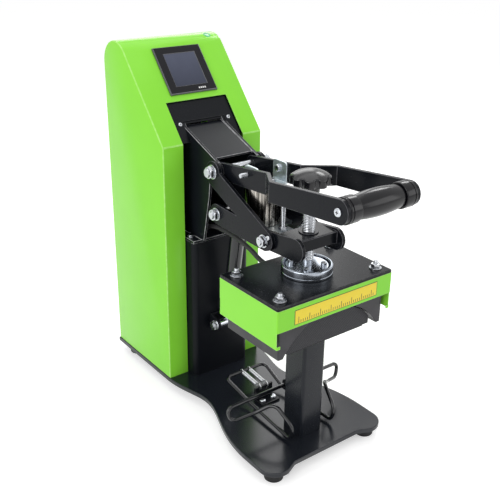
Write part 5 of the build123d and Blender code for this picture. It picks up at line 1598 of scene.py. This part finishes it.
# ---------------------------------------------------------------- platen, screw and damper
class HEATPRESS_OT_platen(bpy.types.Operator):
    """Builds the heated platen: cover, skirt, block, strip, studs and gland"""
    bl_idname = "heatpress.platen"
    bl_label = "Platen"

    def execute(self, context):
        sizes = context.scene.press_sizes
        dress("cover_plate", plate_black, "platen", "plate_black", 0.5)
        dress("heater_skirt", green_enamel, "platen", "housing_green", 0.45)
        dress("heater_block", heater_coat, "platen", "heater_alloy", 0.7, 3)
        dress("heating_element", heat_tinted_steel, "platen", "element_steel", 0.3, 1)
        dress("insulation_slab", insulation, "platen", "insulation_wool", 0.6, 1)
        stick_strip(sizes.strip_length, sizes.strip_height)
        set_studs()
        fit_gland()
        return {"FINISHED"}


def stick_strip(length, height):
    """A yellow film on the skirt's front with a thin black border and a plain row of ticks."""
    mid_z, border, film = 0.2242, 0.7 * MM, 0.14 * MM
    count, margin, tick_foot = 37, 12 * MM, 0.8 * MM
    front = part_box("heater_skirt")[0].y
    for name, w, h, out, make in (
            ("strip_border", length, height, film, strip_black),
            ("strip_film", length - 2 * border, height - 2 * border, film * 2, strip_yellow)):
        bm = bmesh.new()
        add_block(bm, (0, front - out / 2, mid_z), (w, out, h))
        piece(name, to_mesh(name, bm), make, "platen", "housing_green")
    row = length - margin
    values = {"Count": count, "Pitch": row / (count - 1) / MM, "Bar Width": 0.7, "Bar Height": 3.6,
              "Tall": 2.2, "Material": finish(strip_black)}
    mesh = grow("strip_ticks", ticks_tree, values)
    foot = mid_z - height / 2 + border + tick_foot
    mesh.transform(Matrix.Translation((-row / 2, front - film * 2, foot)))
    piece("strip_ticks", mesh, strip_black, "platen", "housing_green")


def set_studs():
    """Threaded stud ends, each with a washer and a nut."""
    spots = level_spots("platen_studs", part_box("cover_plate")[1].z)
    ends = [threaded("stud_thread", 3.0, 1.0, (hi.z - lo.z) / MM, Vector((*middle((lo, hi)).xy, lo.z)), Z)
            for lo, hi in solids("platen_studs")]
    lo, hi = solids("stud_nuts")[0]
    nut = hex_nut(10, 5, 3, (hi.x - lo.x) / 2 / MM, 1.6)
    scattered("stud_nuts_washers", nut, spots, zinc, "platen", "zinc_steel", "stud_nuts")
    mesh = smooth(joined("stud_threads", *ends), 60)
    piece("stud_threads", mesh, zinc, "platen", "zinc_steel", "platen_studs")


def fit_gland():
    """A ribbed boot round the lead where it enters the skirt."""
    bore, ribs, first_rib, rib_pitch, fall = 3.3, 3, 4.8, 1.5, 0.35
    lo, hi, mid = box_of("lead_gland")
    r, depth = (hi.x - lo.x) / 2 / MM, (hi.y - lo.y) / MM
    profile = [(bore, 0), (r - 1.5, 0), (r - 1.5, 3.2), (r, 3.2), (r, 4.4)]
    for k in range(ribs):
        h, rib = first_rib + k * rib_pitch, r - fall * k
        profile += [(rib - 1.0, h), (rib - 0.3, h + 0.4), (rib - 0.3, h + 1.0)]
    profile += [(bore + 0.3, depth), (bore, depth), (bore, 0)]
    mesh = to_mesh("lead_boot", turned(profile, at(mid, y=lo.y), Y, 40), 30)
    piece("lead_boot", mesh, inlet_plastic, "platen", "inlet_plastic", "lead_gland")


class HEATPRESS_OT_screw(bpy.types.Operator):
    """Turns the swivel cup, the threaded spindle and the lobed knob"""
    bl_idname = "heatpress.screw"
    bl_label = "Spindle and knob"

    def execute(self, context):
        turn_cup()
        cut_spindle()
        dress("knob", knob_plastic, "spindle", "knob_plastic", 1.1, 3)
        return {"FINISHED"}


def turn_cup():
    """A chromed cup with a rolled rim and a foot, its ring inside and four socket screws."""
    wall, floor, hole, foot_r = 3.4, 3.0, 4.5, 0.6
    lo, hi, mid = box_of("swivel_cup")
    r, h = (hi.x - lo.x) / 2 / MM, (hi.z - lo.z) / MM
    profile = [(hole, 0), (r - foot_r, 0)] + arc(r - foot_r, foot_r, foot_r, -90, 0, 3)
    profile += [(r, 3.0), (r - 0.5, 3.5), (r - 0.5, 4.3), (r, 4.8)]
    profile += arc(r - wall / 2, h - wall / 2, wall / 2, 0, 180, 10)
    profile += [(r - wall, floor + 0.8), (r - wall - 0.8, floor), (hole, floor), (hole, 0)]
    mesh = to_mesh("swivel_cup", turned(profile, at(mid, z=lo.z), Z, 96), 32)
    piece("swivel_cup_turned", mesh, cup_steel, "platen", "chrome_bright", "swivel_cup")
    dress("retaining_ring", cup_steel, "platen", "zinc_steel", 0.5, 3)
    spots = level_spots("cup_screws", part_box("retaining_ring")[1].z)
    head = socket_head(3.6, 4.0, 3.0)
    scattered("cup_socket_screws", head, spots, zinc, "platen", "dark_screws", "cup_screws")


def cut_spindle():
    """A plain neck and flange at the foot, and a fine thread above."""
    neck_r, neck_top, flange_r, flange_top = 6, 15.35, 11, 3.95
    lo, hi, mid = box_of("spindle")
    foot = at(mid, z=lo.z)
    profile = [(0, 0), (flange_r - 0.4, 0), (flange_r, 0.4), (flange_r, 3.5), (flange_r - 0.4, flange_top),
               (neck_r, flange_top), (neck_r, neck_top), (0, neck_top)]
    neck = to_mesh("spindle_neck", turned(profile, foot, Z, 48), 30)
    length = (hi.z - lo.z) / MM - neck_top
    rod = threaded("spindle_thread", 7.5, 2.0, length, foot + Z * neck_top * MM, Z)
    piece("spindle_threaded", joined("spindle_threaded", neck, rod), zinc, "spindle", "zinc_steel", "spindle")


class HEATPRESS_OT_damper(bpy.types.Operator):
    """Turns the gas damper's tube and rod and puts on its plain label"""
    bl_idname = "heatpress.damper"
    bl_label = "Gas damper"

    def execute(self, context):
        dress("damper_tube", damper_black, "damper_tube", "damper_black", 0.5, 3)
        dress("damper_rod", chrome, "damper_rod", "chrome_bright", 0.5, 3)
        wrap_label()
        return {"FINISHED"}


def wrap_label():
    """A plain paper label half round the tube, low on its left."""
    radii, heights, first, sweep, steps = (10.02, 10.14), (34.0, 72.0), 100, 160, 24
    pin, eye = middle(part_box("damper_pin")), middle(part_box("lift_spacers"))
    axis = Vector((0, eye.y - pin.y, eye.z - pin.z)).normalized()
    foot, front = Vector((0, pin.y, pin.z)), axis.cross(X).normalized()
    turns = [radians(first + sweep * k / steps) for k in range(steps + 1)]
    bm = bmesh.new()
    rings = []
    for radius in radii:
        for height in heights:
            spokes = [(X * cos(t) + front * sin(t)) * radius * MM for t in turns]
            rings.append([bm.verts.new(foot + axis * height * MM + spoke) for spoke in spokes])
    in_low, in_high, out_low, out_high = rings
    for a, b in ((out_low, out_high), (in_high, in_low), (out_high, in_high), (in_low, out_low)):
        for k in range(steps):
            bm.faces.new((a[k], a[k + 1], b[k + 1], b[k]))
    for k in (0, steps):
        bm.faces.new((in_low[k], in_high[k], out_high[k], out_low[k]))
    piece("damper_label", to_mesh("damper_label", bm), label_paper, "damper_tube", "damper_black")


# ---------------------------------------------------------------- panel and main
STEPS = [
    HEATPRESS_OT_stage, HEATPRESS_OT_lead, HEATPRESS_OT_housing, HEATPRESS_OT_controller,
    HEATPRESS_OT_base, HEATPRESS_OT_wire, HEATPRESS_OT_arm, HEATPRESS_OT_handle, HEATPRESS_OT_magnet,
    HEATPRESS_OT_platen, HEATPRESS_OT_screw, HEATPRESS_OT_damper]


class HEATPRESS_PT_panel(bpy.types.Panel):
    """Lists the steps and the values that a user may change"""
    bl_idname = "HEATPRESS_PT_panel"
    bl_label = "Cap heat press"
    bl_space_type = "VIEW_3D"
    bl_region_type = "UI"
    bl_category = "Heat Press"

    def draw(self, context):
        layout = self.layout
        for group in (context.scene.press_colours, context.scene.press_sizes, context.scene.press_stage):
            for name in group.__annotations__:
                layout.prop(group, name)
        for step in STEPS:
            layout.operator(step.bl_idname)


GROUPS = [("press_colours", PressColours), ("press_sizes", PressSizes), ("press_stage", PressStage)]


def register():
    for name, group in GROUPS:
        bpy.utils.register_class(group)
        setattr(bpy.types.Scene, name, PointerProperty(type=group))
    for item in (*STEPS, HEATPRESS_PT_panel):
        bpy.utils.register_class(item)


def unregister():
    for item in reversed((*STEPS, HEATPRESS_PT_panel)):
        bpy.utils.unregister_class(item)
    for name, group in reversed(GROUPS):
        delattr(bpy.types.Scene, name)
        bpy.utils.unregister_class(group)


def main():
    register()
    for step in STEPS:
        area, call = step.bl_idname.split(".")
        getattr(getattr(bpy.ops, area), call)()


if __name__ == "__main__":
    main()
